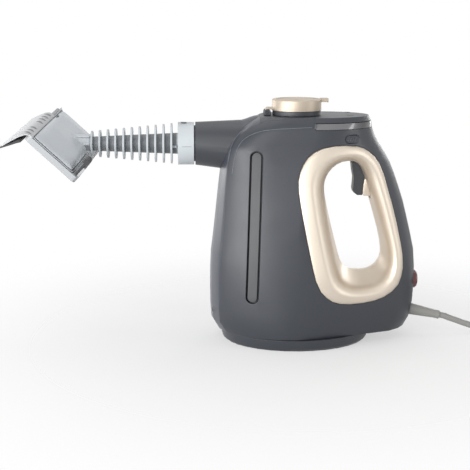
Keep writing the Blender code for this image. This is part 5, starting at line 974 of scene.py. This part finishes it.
def seam_tube(line, side):
    """A thin tube along points in metres."""
    angles = [FULL_TURN * k / SEAM_SIDES for k in range(SEAM_SIDES)]
    rings = []
    for i, here in enumerate(line):
        run = (line[min(i + 1, len(line) - 1)] - line[max(i - 1, 0)]).normalized()
        first = run.cross(Vector((0, side, 0))).normalized() * SEAM_RADIUS * MM
        second = run.cross(first)
        rings.append([here + first * math.cos(a) + second * math.sin(a) for a in angles])
    return lofted(rings)


def make_seams():
    for line_name, places in SEAMS.items():
        for side_name, side in SIDES:
            nodes = (f"shell_{side_name}", "spine_cover", "top_deck")
            inwards = Vector((0, -side, 0))
            line = smooth_line(places, SEAM_POINTS)
            starts = [Vector((x, side * SEAM_VIEW_DISTANCE, z)) * MM for x, z in line]
            hits = [first_hit(nodes, start, inwards) for start in starts]
            shape = seam_tube([hit for hit in hits if hit], side)
            piece(f"seam_{line_name}_{side_name}", shape, "housing", "seam_highlight", SOFT_ANGLE)


# Dark plate of painted shade on the end of the lid's tab
TAB_END_SHADE = [(29.4, 236.9), (30.75, 236.9), (30.75, 240.0), (29.4, 240.0)]
TAB_END_SHADE_SPAN = (-4.6, 4.6)


def make_tab_end_shade():
    piece("tab_end_shade", prism(TAB_END_SHADE, *TAB_END_SHADE_SPAN), "lid", "shadow", bevel=0.25)


# Mains cord, in metres: the same route as its solids
CORD_RADIUS = 0.0031
GAP = 0.0003
RELIEF_ENTRY = Vector((0.1150, 0, 0.0275))
RELIEF_RUN = Vector((1, 0, -0.2260)).normalized()
RELIEF_LENGTH = 0.0340
LEAD_ROUTE = [
    (0.1552, 0, 0.0180), (0.1630, 0, 0.0152), (0.1715, 0, 0.0120), (0.1805, 0, 0.0089), (0.1900, 0, 0.0062),
    (0.2000, 0, 0.0043), (0.2110, 0, 0.0034), (0.2240, 0, 0.0033), (0.2380, 0, 0.0033),
]
LEAD_POINTS = 40
COIL_CENTRE = Vector((0.2590, 0.0505, 0))
COIL_OUTER = 0.0505
COIL_TURNS_IN = 4
COIL_TURNS_OUT = 3.5
COIL_POINTS = 24
COIL_TURN_GAP = 0.0006
COIL_FLOOR_GAP = 0.0002
COIL_PITCH = 2 * CORD_RADIUS + COIL_TURN_GAP
COIL_LOW = CORD_RADIUS + COIL_FLOOR_GAP
CORD_END_GAP = 0.0006
TAIL_LENGTH = 0.0420
TAIL_TURN = math.radians(-16)
TAIL_HEIGHT = 0.0095
TAIL_POINTS = 8
CORD_BEVEL_STEPS = 4


def coil_points():
    """The wound turns: in on the floor, up a layer in half a turn, and out again on top."""
    inner = COIL_OUTER - COIL_TURNS_IN * COIL_PITCH
    climb = COIL_POINTS // 2
    steps_in = COIL_TURNS_IN * COIL_POINTS
    steps_out = round(COIL_TURNS_OUT * COIL_POINTS)
    made = []
    for i in range(steps_in + climb + steps_out + 1):
        angle = -math.pi / 2 + FULL_TURN * i / COIL_POINTS
        radius = COIL_OUTER - COIL_PITCH * i / COIL_POINTS
        if i > steps_in + climb / 2:
            radius = inner + COIL_PITCH * (i - steps_in - climb) / COIL_POINTS
        height = COIL_LOW + COIL_PITCH * within((i - steps_in) / climb)
        made.append(COIL_CENTRE + Vector((radius * math.cos(angle), radius * math.sin(angle), height)))
    return made


def cord_route():
    start = RELIEF_ENTRY + RELIEF_RUN * (RELIEF_LENGTH + GAP)
    coil = coil_points()
    straight = 2 * CORD_RADIUS
    coil_start = coil[0] - Vector((straight, 0, 0))
    lead_end = coil_start - Vector((CORD_END_GAP, 0, 0))
    lead_knots = [start, start + RELIEF_RUN * straight] + LEAD_ROUTE + [lead_end]
    run = coil[-1] - coil[-2]
    run = Vector((run.x, run.y, 0)).normalized()
    turned = Matrix.Rotation(TAIL_TURN, 3, "Z") @ run
    coil_end = coil[-1] + run * straight
    tail_start = coil_end + run * CORD_END_GAP
    tail_end = tail_start + (run + turned) * (TAIL_LENGTH / 2)
    tail_end.z = TAIL_HEIGHT
    tail_knots = [tail_start, tail_start + run * straight, tail_end - turned * straight, tail_end]
    lead = smooth_line(lead_knots, LEAD_POINTS, run_on=1)
    tail = smooth_line(tail_knots, TAIL_POINTS, run_on=1)
    return lead + [coil_start] + coil + [coil_end] + tail


def make_cord():
    route = cord_route()
    curve = bpy.data.curves.new("mains_cord", "CURVE")
    curve.dimensions = "3D"
    curve.bevel_depth = CORD_RADIUS
    curve.bevel_resolution = CORD_BEVEL_STEPS
    curve.use_fill_caps = True
    line = curve.splines.new("POLY")
    line.points.add(len(route) - 1)
    for knot, point in zip(line.points, route):
        knot.co = (*point, 1.0)
    curve.materials.append(materials["grey_cord"])
    mains_cord = bpy.data.objects.new("mains_cord", curve)
    link(mains_cord)
    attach(mains_cord, "housing")
    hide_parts("cord_lead", "cord_coil", "cord_tail")


# Floor: a pale grey that keeps the shadow near the object and fades out away from it, in metres
FLOOR_HALF_SIZE = 6.0
FLOOR_CELLS = 8
FLOOR_DROP = 0.0001
FLOOR_FADE = (0.10, 0.46)
FLOOR_CLEAR = (0.52, 1.0)
FLOOR_CLOUD = 3.0
FLOOR_DARK = (0.905, 0.905, 0.905, 1)
FLOOR_LIGHT = (0.915, 0.915, 0.915, 1)


def make_floor():
    shape = bmesh.new()
    bmesh.ops.create_grid(shape, x_segments=FLOOR_CELLS, y_segments=FLOOR_CELLS, size=FLOOR_HALF_SIZE)
    floor = mesh_object("floor", shape)
    floor.location = (0, 0, -FLOOR_DROP)
    made = bpy.data.materials.new("floor")
    made.use_nodes = True
    g = Graph(made.node_tree)
    place = g.place()
    away = g.add("ShaderNodeVectorMath", {0: place}, operation="LENGTH").outputs["Value"]
    fade = g.span(away, *FLOOR_FADE, *FLOOR_CLEAR, interpolation_type="SMOOTHSTEP")
    tone = g.mix(g.noise(place, FLOOR_CLOUD), FLOOR_DARK, FLOOR_LIGHT)
    lit = g.add("ShaderNodeBsdfDiffuse", {"Color": tone}).outputs[0]
    clear = g.add("ShaderNodeBsdfTransparent").outputs[0]
    both = g.add("ShaderNodeMixShader", {0: fade, 1: lit, 2: clear}).outputs[0]
    g.add("ShaderNodeOutputMaterial", {"Surface": both})
    floor.data.materials.append(made)


# World: white where it is seen or mirrored, and weaker as a light
WORLD_LIGHT = 0.33
WORLD_SEEN = 1.0
WHITE = (1, 1, 1, 1)


def make_world():
    world = bpy.data.worlds.new("world")
    bpy.context.scene.world = world
    world.use_nodes = True
    g = Graph(world.node_tree)
    rays = g.add("ShaderNodeLightPath").outputs
    straight = g.math("ADD", rays["Is Camera Ray"], rays["Is Glossy Ray"])
    seen = g.math("ADD", straight, rays["Is Transmission Ray"], clamp=True)
    strength = g.span(seen, 0.0, 1.0, WORLD_LIGHT, WORLD_SEEN)
    background = g.add("ShaderNodeBackground", {"Color": WHITE, "Strength": strength})
    g.add("ShaderNodeOutputWorld", {"Surface": background.outputs[0]})


# Lamps: place, aim, width and height in metres, and power in watts
LAMPS = {
    "key": ((-1.14, -1.10, 0.18), (0, 0, 0.11), 1.75, 0.72, 25.5),
    "side": ((-1.75, -0.30, 0.24), (0, 0, 0.12), 0.8, 0.5, 3.0),
    "back_left": ((-1.15, 1.10, 0.30), (0, 0, 0.12), 0.9, 0.6, 5.0),
    "back_right": ((0.90, 1.40, 0.50), (0, 0, 0.12), 0.8, 0.6, 5.0),
    "high": ((-0.55, -1.30, 1.15), (0, 0, 0.15), 1.0, 0.6, 4.5),
    "top": ((-0.1, 0.3, 1.7), (0, 0, 0), 1.6, 1.2, 6.0),
    "front": ((-0.1, -2.0, 0.30), (0.1, 0, 0.08), 0.8, 0.5, 2.0),
    "fill": ((1.30, -0.62, 0.45), (0, 0, 0.15), 0.28, 0.8, 3.2),
}


def make_lamps():
    for name, (place, aim, width, height, power) in LAMPS.items():
        data = bpy.data.lights.new(name, "AREA")
        data.shape = "RECTANGLE"
        data.size = width
        data.size_y = height
        data.energy = power
        lamp = bpy.data.objects.new(name, data)
        lamp.location = place
        lamp.rotation_euler = aimed(place, aim)
        link(lamp)


make_camera()
dress_solids()
make_sheet()
make_sheet_slots()
make_rubbers()
make_casing()
make_casing_steps()
make_head_marks()
make_trigger_guard()
make_lock_button()
make_deck_sockets()
make_collar_marks()
make_trim_gaps()
make_fairing()
make_deck_seal()
make_seams()
make_tab_end_shade()
make_cord()
make_floor()
make_world()
make_lamps()
